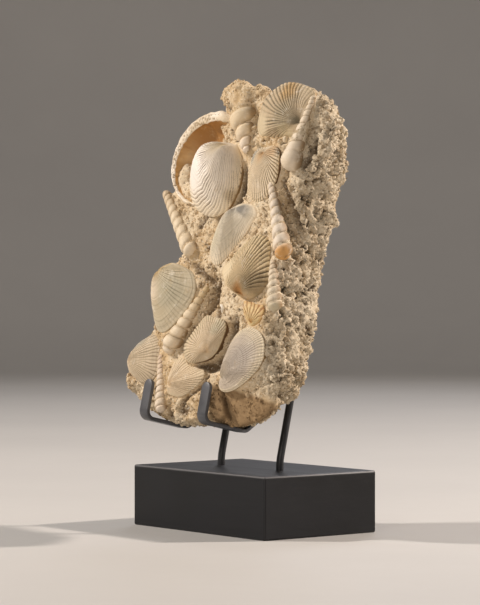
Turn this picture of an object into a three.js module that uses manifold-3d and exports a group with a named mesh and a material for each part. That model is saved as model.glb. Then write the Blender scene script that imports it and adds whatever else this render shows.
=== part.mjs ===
// A block of sandy rock full of fossil sea shells, on a black stand of wood and steel.
// Units are millimetres and degrees, +Z is up and the slab faces -Y. The origin is on the floor,
// under the centre of the stand's block.
// Everything on the slab is placed in the slab's own frame: u runs across to the right, v up the
// front and h out of the front, towards the viewer.

import * as THREE from 'three';
import { mergeVertices } from 'three/addons/utils/BufferGeometryUtils.js';
import Module from 'manifold-3d';

const wasm = await Module();
wasm.setup();

// ---- driving dimensions ----

const GAP = 0.3; // clearance between pieces that touch
const OPEN = 60; // how far a cut runs on into the open air

const BLOCK = { width: 174, depth: 115, height: 50, corner: 2, edge: 1.5 };

// The lean is in degrees from upright. Front and level are where u, v and h are all zero.
const SLAB = { lean: 12.7, front: -74, level: 110 };

const ROD = { radius: 3, sides: 8, left: -37, right: 40, h: -79.8, top: 92, sunk: 20, bend: -36 };

const HOOK = {
  width: 10.6, thickness: 3, tip: 12, front: 5.6, under: -19.4, bendRadius: 6.5, back: -34, rise: 45,
};

// The rock is lofted round a centre line through outlines at four depths.
const ROCK = { centre: [30, 118], rays: 42, frontRings: 6, edgeDrop: 5 };

const FRONT_OUTLINE = [
  [-20, -17], [-30, -17], [-38, -10], [-50, -5], [-68, -1], [-80, 10], [-82, 22], [-76, 34],
  [-60, 48], [-57, 58], [-60, 72], [-60, 90], [-54, 104], [-32, 114], [-40, 130], [-54, 146],
  [-66, 160], [-67, 170],
  [-60, 180], [-62, 196], [-58, 212], [-46, 225], [-28, 232], [-12, 236], [-18, 248], [-12, 256],
  [4, 258], [18, 252], [34, 252], [48, 247], [66, 251], [82, 251], [100, 246], [113, 240],
  [118, 228], [118, 212], [113, 198], [104, 182], [98, 164], [96, 142], [94, 118], [95, 92],
  [97, 62], [99, 38], [93, 24], [72, 12], [50, 3], [40, -8], [34, -16], [6, -17],
];

const SHOULDER_OUTLINE = [
  [-24, -17], [-36, -16], [-56, -8], [-76, 4], [-79, 26], [-72, 44], [-66, 60], [-64, 84],
  [-58, 104], [-48, 118], [-52, 134], [-62, 152], [-68, 172], [-66, 196], [-58, 214], [-40, 228],
  [-18, 240], [-14, 252], [4, 256], [30, 252], [60, 253], [92, 247], [110, 240], [118, 226],
  [117, 208], [112, 194], [104, 176], [100, 158], [98, 138], [97, 114], [98, 90], [102, 62],
  [106, 40], [107, 20], [101, 5], [98, -5], [93, -12], [80, -16], [62, -18], [40, -18], [10, -17],
];

const WAIST_OUTLINE = [
  [-34, -15], [-52, -8], [-64, 8], [-68, 34], [-66, 66], [-64, 96], [-60, 124], [-64, 152],
  [-68, 180], [-62, 206], [-44, 226], [-16, 238], [20, 246], [56, 247], [82, 238], [94, 224],
  [104, 211], [108, 197], [102, 178], [100, 160], [103, 145], [96, 128], [95, 108], [98, 90],
  [102, 68], [97, 50], [101, 32], [99, 15], [91, 9], [78, 4], [66, -2], [54, -11], [38, -15], [4, -15],
];

const BACK_OUTLINE = [
  [-46, 20], [-50, 60], [-50, 110], [-51, 160], [-44, 196], [-10, 212], [24, 214], [44, 204],
  [48, 170], [48, 110], [48, 60], [48, 20], [8, 18],
];

const ROCK_LEVELS = [
  { outline: FRONT_OUTLINE, h: -6, rough: 0 },
  { outline: SHOULDER_OUTLINE, h: -16, rough: 2 },
  { outline: WAIST_OUTLINE, h: -40, rough: 2.5 },
  { outline: BACK_OUTLINE, h: -76.2, rough: 0 },
];

// Swells and hollows of the rock's front: place, reach along u and v, and height.
const SWELLS = [
  { at: [6, 246], reach: [20, 9], height: 6 },
  { at: [-34, 200], reach: [32, 30], height: -4 },
  { at: [103, 204], reach: [7, 17], height: -9 },
  { at: [113, 196], reach: [6, 24], height: 4 },
  { at: [20, 172], reach: [10, 12], height: -9 },
  { at: [40, 46], reach: [8, 18], height: -6 },
  { at: [36, -6], reach: [7, 8], height: -6 },
  { at: [14, 26], reach: [16, 5], height: -3 },
];

// Grooves beside the screw shells, each from one end to the other.
const GROOVES = [
  { from: [66, 198], to: [70, 182], width: 6, depth: 8 },
  { from: [72, 182], to: [100, 130], width: 7, depth: 8 },
  { from: [6, 90], to: [-14, 55], width: 7, depth: 8 },
  { from: [99, 112], to: [109, 80], width: 4, depth: 4 },
];

// Lumps that stand out of the rock: place and reach along u, v and h.
const LUMPS = [
  { at: [5, 249.5, 0], reach: [21, 12.5, 9] }, { at: [27, 251, -8], reach: [9, 7, 9] },
  { at: [96, 154, -36], reach: [8, 7, 8] }, { at: [-70, 12, -8], reach: [12, 11, 12] },
  { at: [93, 76, -32], reach: [9, 14, 12] },
];

// The largest pits of the rough right side.
const PITS = [
  { at: [101, 168, -29], radius: 6 }, { at: [104, 190, -15], radius: 6 },
  { at: [100, 204, -30], radius: 5 }, { at: [98, 147, -5], radius: 6 },
  { at: [98, 118, -14], radius: 6 }, { at: [97, 88, -23], radius: 7 },
  { at: [98, 57, -6], radius: 6 }, { at: [100, 34, -28], radius: 6 },
];

// Colours of the pieces.
const PAINT = {
  black: { color: 0x0c0c0d, roughness: 0.35, metalness: 0 },
  steel: { color: 0x17181a, roughness: 0.4, metalness: 0.1 },
  rock: { color: 0xc9b08a, roughness: 0.95, metalness: 0 },
  cream: { color: 0xdcc8a4, roughness: 0.7, metalness: 0 },
  white: { color: 0xefe6d6, roughness: 0.55, metalness: 0 },
  grey: { color: 0xbdb49c, roughness: 0.7, metalness: 0 },
  brown: { color: 0xa87b45, roughness: 0.75, metalness: 0 },
};

// Single valves. `beak` is where the ribs start, `rim` the outline, `level` the rim's height in the
// slab's frame, `sunk` how far the valve goes into the rock, `dome` the height of the swell,
// `beakHeight` the height at the beak, `ribs` the number of coarse ribs and `ribHeight` their
// height. A valve with no ribs has its number of `sides` instead.
const VALVES = [
  {
    name: 'white_cockle', paint: 'white', beak: [14, 205], level: 1, sunk: 7,
    dome: 20, beakHeight: 6, ribs: 0, sides: 20, ribHeight: 0,
    rim: [
      [15, 207], [3, 209], [-14, 207], [-29, 199], [-36, 184], [-33, 167], [-22, 155], [-8, 149],
      [6, 148], [18, 153], [25, 163], [28, 174], [27, 189], [22, 200],
    ],
  },
  {
    name: 'top_right_scallop', paint: 'grey', beak: [95, 221], level: 0, sunk: 6,
    dome: 6, beakHeight: 3, ribs: 10, ribHeight: 0.7,
    rim: [
      [98, 214], [85, 211], [70, 211], [55, 212], [43, 214], [38, 220], [37, 231], [41, 244],
      [53, 252], [66, 256], [78, 255], [90, 252], [100, 248], [105, 239], [105, 224],
    ],
  },
  {
    name: 'upper_middle_scallop', paint: 'cream', beak: [57, 202], level: 0, sunk: 6,
    dome: 6, beakHeight: 4, ribs: 10, ribHeight: 0.5,
    rim: [
      [55, 204], [42, 203], [34, 200], [29, 190], [31, 178], [38, 166], [46, 160], [56, 159],
      [65, 167], [69, 174], [72, 180], [71, 191], [69, 199], [63, 204],
    ],
  },
  {
    name: 'oblong_clam', paint: 'grey', beak: [38, 152], level: 0, sunk: 6,
    dome: 9, beakHeight: 6, ribs: 0, sides: 18, ribHeight: 0,
    rim: [
      [42, 158], [30, 157], [19, 150], [10, 142], [6, 130], [5, 119], [10, 110], [18, 108],
      [29, 115], [38, 124], [47, 133], [53, 142], [57, 149], [51, 156],
    ],
  },
  {
    name: 'ribbed_cockle', paint: 'cream', beak: [67, 81], level: 0, sunk: 6,
    dome: 11, beakHeight: 5, ribs: 10, ribHeight: 1.2,
    rim: [
      [66, 77], [52, 82], [38, 90], [28, 98], [26, 106], [33, 112], [43, 120], [52, 127],
      [62, 132], [73, 130], [80, 124], [82, 115], [85, 105], [85, 94], [80, 86], [73, 80],
    ],
  },
  {
    name: 'left_cockle', paint: 'grey', beak: [-50, 103], level: 0, sunk: 6,
    dome: 11, beakHeight: 4, ribs: 10, ribHeight: 0.6,
    rim: [
      [-50, 106], [-45, 110], [-36, 109], [-24, 106], [-13, 101], [-7, 92], [-6, 84], [-11, 74],
      [-20, 64], [-30, 56], [-38, 52], [-46, 53], [-52, 59], [-55, 70], [-56, 84], [-55, 97],
    ],
  },
  {
    name: 'low_left_scallop', paint: 'cream', beak: [-72, 30], level: -1, sunk: 6,
    dome: 7, beakHeight: 5, ribs: 10, ribHeight: 0.5,
    rim: [
      [-52, 50], [-62, 47], [-72, 42], [-79, 33], [-81, 25], [-76, 17], [-66, 12], [-54, 9],
      [-42, 13], [-38, 20], [-40, 32], [-42, 42],
    ],
  },
  {
    name: 'raised_scallop', paint: 'cream', beak: [38, 35], level: 6, sunk: 12,
    dome: 5, beakHeight: 4, ribs: 10, ribHeight: 0.9,
    rim: [
      [36, 31], [25, 28], [12, 27], [4, 32], [1, 40], [7, 49], [15, 58], [23, 65], [34, 64],
      [46, 62], [50, 57], [48, 47], [43, 36],
    ],
  },
  {
    name: 'low_middle_scallop', paint: 'cream', beak: [-16, 9], level: 0, sunk: 6,
    dome: 6, beakHeight: 4, ribs: 10, ribHeight: 0.5,
    rim: [
      [-14, 1], [-19, 3], [-20, 9], [-19, 18], [-15, 29], [-4, 31], [3, 26], [14, 24], [24, 22],
      [26, 18], [20, 10], [12, 5], [0, 0],
    ],
  },
  {
    name: 'low_right_scallop', paint: 'grey', beak: [54, 16], level: 0, sunk: 6,
    dome: 6, beakHeight: 3, ribs: 10, ribHeight: 0.4,
    rim: [
      [48, 9], [54, 6], [64, 7], [75, 12], [85, 19], [93, 27], [96, 36], [94, 46], [88, 53],
      [79, 57], [67, 57], [58, 52], [53, 44], [52, 35], [49, 22],
    ],
  },
  {
    name: 'striped_fragment', paint: 'brown', beak: [76, 61], level: 0, sunk: 4,
    dome: 2, beakHeight: 1, ribs: 5, ribHeight: 0.6,
    rim: [
      [60, 78], [68, 78], [77, 76], [86, 74], [86, 66], [80, 60], [74, 59], [66, 65], [61, 72],
    ],
  },
  {
    name: 'shell_shard', paint: 'white', beak: [34.2, 73], level: 0, sunk: 3,
    dome: 0.8, beakHeight: 0.6, ribs: 0, sides: 8, ribHeight: 0,
    rim: [[30, 75.5], [33, 76], [35.5, 73], [35.5, 68.5], [33.8, 69.5], [32.5, 73]],
  },
];

const COIL_SIDES = 7;

// Coiled shells, from the tip to the mouth end. The radii are the whorls' greatest. `growth` is how
// many times longer the last whorl is than the first, and a `flare` above 1 makes the cone hollow.
const COILS = [
  {
    name: 'top_gastropod', paint: 'cream', tip: [33, 199, 2], mouth: [17, 240, 2], tipRadius: 3,
    radius: 12.5, whorls: 3.6, growth: 3.7, flare: 1, pinch: 0.2,
  },
  {
    name: 'right_gastropod', paint: 'white', tip: [104, 243, 1], mouth: [92, 182, 4],
    tipRadius: 2.3, radius: 8.8, whorls: 6, growth: 5, flare: 1.5, pinch: 0.2,
  },
  {
    name: 'left_turritella', paint: 'cream', tip: [-70, 171, 1], mouth: [-15, 116, 2],
    tipRadius: 3.4, radius: 7.6, whorls: 8, growth: 2.4, flare: 1, pinch: 0.2,
  },
  {
    name: 'long_turritella', paint: 'white', tip: [69, 175, 1], mouth: [104, 112, 2],
    tipRadius: 2.8, radius: 7.6, whorls: 8.5, growth: 2.4, flare: 1, pinch: 0.2,
  },
  {
    name: 'short_turritella', paint: 'white', tip: [87, 112, -0.5], mouth: [100, 71, -0.5],
    tipRadius: 2.4, radius: 6.6, whorls: 7, growth: 2.4, flare: 1, pinch: 0.2,
  },
  {
    name: 'diagonal_turritella', paint: 'cream', tip: [13, 90, 1], mouth: [-26, 35, 2],
    tipRadius: 3, radius: 8.4, whorls: 8, growth: 2.4, flare: 1, pinch: 0.2,
  },
  {
    name: 'bottom_turritella', paint: 'white', tip: [-36, 34, 0], mouth: [-22, -14, 0],
    tipRadius: 2.4, radius: 5.4, whorls: 9, growth: 1.8, flare: 1, pinch: 0.2,
  },
];

// The large open valve: half an egg, broken off at the right, and the part of it left hollow.
const BOWL = {
  centre: [-20, 197], reach: [48, 40], level: 2, depth: 25, wall: 5, rays: 24, open: -4,
  paint: 'white',
};

const HOLLOW = { centre: [-38, 205], reach: [34, 30], depth: 20 };

// ---- helpers ----

// A solid for joining and cutting, from a flat list of points and one of triangles.
function solidFrom(points, triangles) {
  const mesh = new wasm.Mesh({
    numProp: 3,
    vertProperties: new Float32Array(points),
    triVerts: new Uint32Array(triangles),
  });
  return new wasm.Manifold(mesh);
}

function solidOf(geometry) {
  const bare = geometry.clone();
  bare.deleteAttribute('normal');
  bare.deleteAttribute('uv');
  const welded = mergeVertices(bare, 1e-4);
  return solidFrom(welded.attributes.position.array, welded.index.array);
}

function geometryOf(solid) {
  const mesh = solid.getMesh();
  const geometry = new THREE.BufferGeometry();
  geometry.setAttribute('position', new THREE.BufferAttribute(mesh.vertProperties, 3));
  geometry.setIndex(new THREE.BufferAttribute(mesh.triVerts, 1));
  geometry.computeVertexNormals();
  return geometry;
}

function meshOf(name, geometry, paint) {
  const mesh = new THREE.Mesh(geometry, new THREE.MeshStandardMaterial(PAINT[paint]));
  mesh.name = name;
  return mesh;
}

// A closed skin over rings of equal length, from the first ring's cap to the last one's.
function skinRings(rings, firstCap, lastCap) {
  const count = rings[0].length;
  const points = [firstCap, ...rings.flat(), lastCap].flat();
  const last = rings.length * count + 1;
  const at = (ring, ray) => 1 + ring * count + (ray % count);
  const triangles = [];
  for (let ray = 0; ray < count; ray++) {
    triangles.push(0, at(0, ray), at(0, ray + 1));
    triangles.push(last, at(rings.length - 1, ray + 1), at(rings.length - 1, ray));
    for (let ring = 0; ring + 1 < rings.length; ring++) {
      const [a, b] = [at(ring, ray), at(ring, ray + 1)];
      const [c, d] = [at(ring + 1, ray), at(ring + 1, ray + 1)];
      triangles.push(a, c, b, b, c, d);
    }
  }
  return solidFrom(points, triangles);
}

// A smooth closed outline through its points, as short straight steps.
function smoothOutline(points) {
  const knots = points.map(([u, v]) => new THREE.Vector3(u, v, 0));
  return new THREE.CatmullRomCurve3(knots, true, 'centripetal').getPoints(points.length * 8);
}

// How far an outline lies from a centre, in one direction.
function reachOf(outline, [cu, cv], angle) {
  const [du, dv] = [Math.cos(angle), Math.sin(angle)];
  let reach = 0;
  for (let i = 0; i + 1 < outline.length; i++) {
    const [pu, pv] = [outline[i].x - cu, outline[i].y - cv];
    const [eu, ev] = [outline[i + 1].x - outline[i].x, outline[i + 1].y - outline[i].y];
    const cross = du * ev - dv * eu;
    if (Math.abs(cross) < 1e-9) continue;
    const distance = (pu * ev - pv * eu) / cross;
    const along = (pu * dv - pv * du) / cross;
    if (along >= 0 && along <= 1) reach = Math.max(reach, distance);
  }
  return reach;
}

// Soft unevenness between -1 and 1, the same on every run.
function unevenness(u, v, h, size) {
  const [a, b, c] = [u / size, v / size, h / size];
  const first = Math.sin(a + 1.7 * Math.sin(b * 0.8 + c));
  const second = Math.sin(b * 1.3 + 1.9 * Math.sin(c * 0.9 + a * 0.7));
  const third = Math.sin(c * 1.7 + 1.3 * Math.sin(a * 1.1 - b * 0.6));
  return (first + second + third) / 3;
}

// ---- the rock ----

// How near a point is to a groove's line: one on it, none far away.
function nearness(u, v, { from, to, width }) {
  const [du, dv] = [to[0] - from[0], to[1] - from[1]];
  const along = ((u - from[0]) * du + (v - from[1]) * dv) / (du * du + dv * dv);
  const t = THREE.MathUtils.clamp(along, 0, 1);
  const away = Math.hypot(u - from[0] - t * du, v - from[1] - t * dv);
  return Math.exp(-((away / width) ** 2));
}

function frontHeight(u, v) {
  let height = 1.2 * unevenness(u, v, 0, 9);
  for (const { at, reach, height: swell } of SWELLS) {
    height += swell * Math.exp(-(((u - at[0]) / reach[0]) ** 2) - ((v - at[1]) / reach[1]) ** 2);
  }
  for (const groove of GROOVES) height -= groove.depth * nearness(u, v, groove);
  return height;
}

function buildRock() {
  const [cu, cv] = ROCK.centre;
  const angles = Array.from({ length: ROCK.rays }, (_, i) => (i / ROCK.rays) * 2 * Math.PI);
  const reaches = ROCK_LEVELS.map(({ outline }) => {
    const smooth = smoothOutline(outline);
    return angles.map((angle) => reachOf(smooth, ROCK.centre, angle));
  });
  const rings = [];
  const ringAt = (reach, heightAt) => rings.push(angles.map((angle, ray) => {
    const u = cu + reach(ray) * Math.cos(angle);
    const v = cv + reach(ray) * Math.sin(angle);
    return [u, v, heightAt(u, v)];
  }));
  for (let ring = 1; ring <= ROCK.frontRings; ring++) {
    const share = (ring / ROCK.frontRings) ** 0.8;
    const drop = ROCK.edgeDrop * share ** 8;
    ringAt((ray) => share * reaches[0][ray], (u, v) => frontHeight(u, v) - drop);
  }
  for (let level = 1; level < ROCK_LEVELS.length; level++) {
    const { h, rough } = ROCK_LEVELS[level];
    const above = ROCK_LEVELS[level - 1];
    const uneven = (ray, depth) => {
      const [u, v] = [Math.cos(angles[ray]) * 100, Math.sin(angles[ray]) * 100];
      return rough * unevenness(u, v, depth, 7);
    };
    const middle = (h + above.h) / 2;
    const between = (ray) => (reaches[level][ray] + reaches[level - 1][ray]) / 2;
    ringAt((ray) => between(ray) + 1.5 + uneven(ray, middle), () => middle);
    ringAt((ray) => reaches[level][ray] + uneven(ray, h), () => h);
  }
  const back = ROCK_LEVELS.at(-1);
  ringAt((ray) => reaches.at(-1)[ray] / 2, () => back.h);
  return skinRings(rings, [cu, cv, frontHeight(cu, cv)], [cu, cv, back.h]);
}

// ---- the shells ----

// Directions from a valve's beak, closer together over the ribs than behind the beak.
function valveRays(valve) {
  const smooth = smoothOutline(valve.rim);
  const count = valve.ribs > 0 ? 2 * valve.ribs : valve.sides;
  const steps = 72;
  const turns = Array.from({ length: steps }, (_, i) => (i / steps) * 2 * Math.PI);
  const reaches = turns.map((turn) => reachOf(smooth, valve.beak, turn));
  const weights = reaches.map((reach) => reach ** 0.7);
  const total = weights.reduce((sum, weight) => sum + weight, 0);
  const longest = Math.max(...reaches);
  const rays = [];
  let [index, passed] = [0, 0];
  for (let ray = 0; ray < count; ray++) {
    const wanted = (ray / count) * total;
    while (passed + weights[index] < wanted) passed += weights[index++];
    const angle = ((index + (wanted - passed) / weights[index]) / steps) * 2 * Math.PI;
    const reach = reachOf(smooth, valve.beak, angle);
    rays.push({ angle, reach, share: reach / longest, side: ray % 2 ? -1 : 1 });
  }
  return rays;
}

function valveRing(valve, rays, heightAt, share, outset = 0) {
  return rays.map((ray) => {
    const reach = ray.reach * share + outset;
    const u = valve.beak[0] + reach * Math.cos(ray.angle);
    const v = valve.beak[1] + reach * Math.sin(ray.angle);
    return [u, v, valve.level + heightAt(ray)];
  });
}

function buildValve(valve) {
  const rays = valveRays(valve);
  const swellAt = (share) => (ray) => {
    const beak = valve.beakHeight * (1 - share) ** 2;
    const swell = valve.dome * Math.sqrt(ray.share) * Math.sin(Math.PI * share ** 0.62) ** 0.85;
    const rib = valve.ribHeight * ray.side * Math.sin(Math.PI * share ** 1.5) * ray.share;
    return beak + swell + rib;
  };
  const rings = [0.2, 0.5, 0.8].map((share) => valveRing(valve, rays, swellAt(share), share));
  rings.push(valveRing(valve, rays, () => 0, 1));
  rings.push(valveRing(valve, rays, () => -valve.sunk, 1, -1));
  const { beak: [u, v], level, beakHeight, sunk } = valve;
  return skinRings(rings, [u, v, level + beakHeight], [u, v, level - sunk]);
}

// The room a valve needs in the rock: its outline and the clearance, open to the front.
function valveRoom(valve) {
  const rays = valveRays(valve);
  const { beak: [u, v], level } = valve;
  const floor = -valve.sunk - GAP;
  const rings = [OPEN, floor].map((h) => valveRing(valve, rays, () => h, 1, GAP));
  return skinRings(rings, [u, v, level + OPEN], [u, v, level + floor]);
}

// Moves a solid built along +Z from the origin to lie between two points.
function layBetween(solid, tip, mouth) {
  const from = new THREE.Vector3(...tip);
  const along = new THREE.Vector3(...mouth).sub(from).normalize();
  const turn = new THREE.Quaternion().setFromUnitVectors(new THREE.Vector3(0, 0, 1), along);
  const place = new THREE.Matrix4().compose(from, turn, new THREE.Vector3(1, 1, 1));
  return solid.transform(place.elements);
}

function coilLength({ tip, mouth }) {
  return new THREE.Vector3(...tip).distanceTo(new THREE.Vector3(...mouth));
}

// The share of a coil's length over which its mouth end is rounded off.
function coilRound(coil) {
  return Math.min(coil.radius / coilLength(coil), 0.4);
}

// The radius of the cone that a coil fills.
function coilRadius(coil, t) {
  const round = coilRound(coil);
  const widened = Math.min(t / (1 - round), 1) ** coil.flare;
  const cone = coil.tipRadius + (coil.radius - coil.tipRadius) * widened;
  const past = Math.max(0, (t - (1 - round)) / round);
  return cone * Math.sqrt(Math.max(1 - past * past, 0.04));
}

// A helical strip: each row of points winds on and meets the next whorl, so the seams run as they
// do on the real shell. Whorls lengthen towards the mouth.
function buildCoil(coil) {
  const [around, rows] = [COIL_SIDES, 3];
  const length = coilLength(coil);
  const total = Math.round(coil.whorls * rows);
  const point = (row, column) => {
    const whorl = row / rows + column / around;
    const share = Math.min(whorl / (coil.whorls + 1), 1);
    const t = (coil.growth ** share - 1) / (coil.growth - 1);
    const crest = row % rows === 0 ? 1 - coil.pinch : 1;
    const radius = coilRadius(coil, t) * crest;
    const angle = (column / around) * 2 * Math.PI;
    return [radius * Math.cos(angle), radius * Math.sin(angle), t * length];
  };
  const points = [];
  for (let row = 0; row <= total; row++) {
    for (let column = 0; column < around; column++) points.push(point(row, column));
  }
  const at = (row, column) => (column < around ? row * around + column : (row + rows) * around);
  const triangles = [];
  for (let row = 0; row < total; row++) {
    for (let column = 0; column < around; column++) {
      if (column === around - 1 && row + 1 + rows > total) continue;
      const [a, b] = [at(row, column), at(row, column + 1)];
      const [c, d] = [at(row + 1, column), at(row + 1, column + 1)];
      triangles.push(a, b, c, b, d, c);
    }
  }
  const tipLoop = [];
  for (let column = 0; column < around; column++) tipLoop.push(at(0, column));
  for (let row = rows; row > 0; row--) tipLoop.push(at(row, 0));
  const mouthLoop = [];
  for (let column = 0; column < around; column++) mouthLoop.push(at(total, column));
  for (let row = total - 1; row >= total - rows; row--) mouthLoop.push(at(row, around - 1));
  mouthLoop.push(at(total - rows, around));
  const close = (loop, cap, flip) => {
    const centre = points.push(cap) - 1;
    loop.forEach((start, i) => {
      const end = loop[(i + 1) % loop.length];
      if (start === end) return;
      triangles.push(centre, flip ? end : start, flip ? start : end);
    });
  };
  close(tipLoop, [0, 0, -0.5], true);
  close([...new Set(mouthLoop)], [0, 0, length], false);
  return layBetween(solidFrom(points.flat(), triangles), coil.tip, coil.mouth);
}

// The room a coil needs: the cone that its whorls fill, and the clearance.
function coilRoom(coil) {
  const length = coilLength(coil);
  const clear = 2 * GAP;
  const start = 1 - coilRound(coil);
  const profile = [[0, -0.5 - GAP], [coil.tipRadius + clear, -0.5 - GAP]];
  for (const t of [start / 3, start * 2 / 3]) profile.push([coilRadius(coil, t) + clear, t * length]);
  for (const past of [0, 0.4, 0.7, 0.9, 1]) {
    const t = start + past * (1 - start);
    profile.push([coilRadius(coil, t) + clear, t * length + GAP * past]);
  }
  profile.push([0, length + GAP]);
  const turned = profile.map(([x, y]) => new THREE.Vector2(x, y));
  const lathe = new THREE.LatheGeometry(turned, COIL_SIDES);
  lathe.rotateX(Math.PI / 2).rotateZ(Math.PI / 2);
  return layBetween(solidOf(lathe), coil.tip, coil.mouth);
}

// Rings of half an egg with its mouth to the front, set in from its outside.
function eggRings({ centre, reach, level, depth, rays }, inset) {
  return [0, 30, 60].map(THREE.MathUtils.degToRad).map((slope) => {
    const h = level - (depth - inset) * Math.sin(slope);
    return Array.from({ length: rays }, (_, i) => {
      const angle = (i / rays) * 2 * Math.PI;
      const u = centre[0] + (reach[0] - inset) * Math.cos(slope) * Math.cos(angle);
      const v = centre[1] + (reach[1] - inset) * Math.cos(slope) * Math.sin(angle);
      return [u, v, h];
    });
  });
}

// The open valve: the egg hollowed and cut off at one side. `grow` thickens its wall.
function buildBowl(grow = 0) {
  const { centre, level, depth, wall, open } = BOWL;
  const outer = eggRings(BOWL, -grow);
  const inner = eggRings(BOWL, wall + grow).reverse();
  const raised = ([u, v, h]) => [u, v, h === level ? h + grow : h];
  const lift = (rings) => rings.map((ring) => ring.map(raised));
  const top = [...centre, level - depth + wall + grow];
  const bottom = [...centre, level - depth - grow];
  const size = 200;
  const side = new THREE.BoxGeometry(size, size, size);
  side.translate(open + grow - size / 2, centre[1], 0);
  return skinRings([...lift(inner), ...lift(outer)], top, bottom).intersect(solidOf(side));
}

// The part of the bowl that the rock doesn't fill.
function buildHollow() {
  const inside = (bowl, inset) => {
    const rings = eggRings(bowl, inset);
    const lid = rings[0].map(([u, v]) => [u, v, bowl.level + OPEN]);
    const bottom = [...bowl.centre, bowl.level - bowl.depth + inset];
    return skinRings([lid, ...rings], [...bowl.centre, bowl.level + OPEN], bottom);
  };
  return inside(BOWL, BOWL.wall / 2).intersect(inside({ ...BOWL, ...HOLLOW }, 0));
}

// ---- the stand ----

function buildBlock() {
  const { width, depth, height, corner, edge } = BLOCK;
  const [x, y] = [width / 2 - edge, depth / 2 - edge];
  const plan = new THREE.Shape();
  plan.moveTo(-x + corner, -y).lineTo(x - corner, -y).quadraticCurveTo(x, -y, x, -y + corner);
  plan.lineTo(x, y - corner).quadraticCurveTo(x, y, x - corner, y);
  plan.lineTo(-x + corner, y).quadraticCurveTo(-x, y, -x, y - corner);
  plan.lineTo(-x, -y + corner).quadraticCurveTo(-x, -y, -x + corner, -y);
  const block = new THREE.ExtrudeGeometry(plan, {
    depth: height - 2 * edge, bevelThickness: edge, bevelSize: edge, bevelSegments: 1, curveSegments: 2,
  }).translate(0, 0, edge);
  let solid = solidOf(block);
  for (const centre of [ROD.left, ROD.right]) {
    const radius = ROD.radius + GAP;
    const hole = new THREE.CylinderGeometry(radius, radius, 2 * ROD.sunk, ROD.sides);
    hole.rotateX(Math.PI / 2).translate(centre, rodFoot().y, height);
    solid = solid.subtract(solidOf(hole));
  }
  return solid;
}

// A point of the slab's frame in the stand's upright frame, at one x.
function upright(v, h) {
  const lean = THREE.MathUtils.degToRad(SLAB.lean);
  const y = SLAB.front + v * Math.sin(lean) - h * Math.cos(lean);
  const z = SLAB.level + v * Math.cos(lean) + h * Math.sin(lean);
  return new THREE.Vector3(0, y, z);
}

const rodFoot = () => upright(ROD.bend, ROD.h);

// Upright out of the block, one bend, then straight up the slab's back.
function buildRod() {
  const bend = rodFoot();
  const foot = new THREE.Vector3(0, bend.y, BLOCK.height - ROD.sunk + GAP);
  const before = new THREE.Vector3(0, bend.y, bend.z - 4);
  const after = upright(ROD.bend + 4, ROD.h);
  const path = new THREE.CurvePath();
  path.add(new THREE.LineCurve3(foot, before));
  path.add(new THREE.QuadraticBezierCurve3(before, bend, after));
  path.add(new THREE.LineCurve3(after, upright(ROD.top, ROD.h)));
  const circle = new THREE.Shape().absarc(0, 0, ROD.radius, 0, 2 * Math.PI);
  return new THREE.ExtrudeGeometry(circle, {
    steps: 8, curveSegments: ROD.sides / 2, extrudePath: path, bevelEnabled: false,
  });
}

// The hook's centre line in the slab's frame, as points of h and v.
function hookLine() {
  const { front, tip, under, bendRadius, back, rise } = HOOK;
  const line = new THREE.Path();
  const down = -Math.PI / 2;
  line.moveTo(front, tip);
  line.lineTo(front, under + bendRadius);
  line.absarc(front - bendRadius, under + bendRadius, bendRadius, 0, down, true);
  const up = down - THREE.MathUtils.degToRad(rise);
  line.absarc(back, under + bendRadius, bendRadius, down, up, true);
  const end = line.currentPoint;
  const rodFace = ROD.h + ROD.radius + GAP + HOOK.thickness / 2 * Math.SQRT1_2;
  line.lineTo(rodFace, end.y + (end.x - rodFace));
  return line.getPoints(3);
}

function buildHook(centre, grow = 0) {
  const half = HOOK.thickness / 2 + grow;
  const line = hookLine();
  const side = (sign) => line.map((point, i) => {
    const ahead = line[Math.min(i + 1, line.length - 1)];
    const behind = line[Math.max(i - 1, 0)];
    const along = ahead.clone().sub(behind).normalize();
    return new THREE.Vector2(point.x - sign * half * along.y, point.y + sign * half * along.x);
  });
  const width = HOOK.width + 2 * grow;
  const outline = new THREE.Shape([...side(1), ...side(-1).reverse()]);
  const strip = new THREE.ExtrudeGeometry(outline, { depth: width, bevelEnabled: false });
  return solidOf(strip.translate(0, 0, -width / 2).rotateY(-Math.PI / 2).translate(centre, 0, 0));
}

// The corners that rounding the bar's tip takes away.
function tipCorners(centre) {
  const radius = HOOK.width / 2;
  const reach = 4 * HOOK.thickness;
  const block = new THREE.BoxGeometry(HOOK.width + 2, radius + 2, reach);
  block.translate(centre, HOOK.tip - radius / 2 + 1, HOOK.front);
  const round = new THREE.CylinderGeometry(radius, radius, 2 * reach, 24).rotateX(Math.PI / 2);
  round.translate(centre, HOOK.tip - radius, HOOK.front);
  return solidOf(block).subtract(solidOf(round));
}

// ---- the whole ----

// The largest body of a solid, without the crumbs that a cut may leave.
function wholePiece(solid) {
  const bodies = solid.decompose();
  return bodies.reduce((best, body) => (body.volume() > best.volume() ? body : best));
}

const shells = [
  { name: 'hollow_clam_valve', paint: BOWL.paint, solid: buildBowl(), room: buildBowl(GAP) },
  ...VALVES.map((valve) => ({
    name: valve.name, paint: valve.paint, solid: buildValve(valve), room: valveRoom(valve),
  })),
  ...COILS.map((coil) => ({
    name: coil.name, paint: coil.paint, solid: buildCoil(coil), room: coilRoom(coil),
  })),
];

const hooks = [
  { name: 'hook_left', at: ROD.left },
  { name: 'hook_right', at: ROD.right },
];

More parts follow.
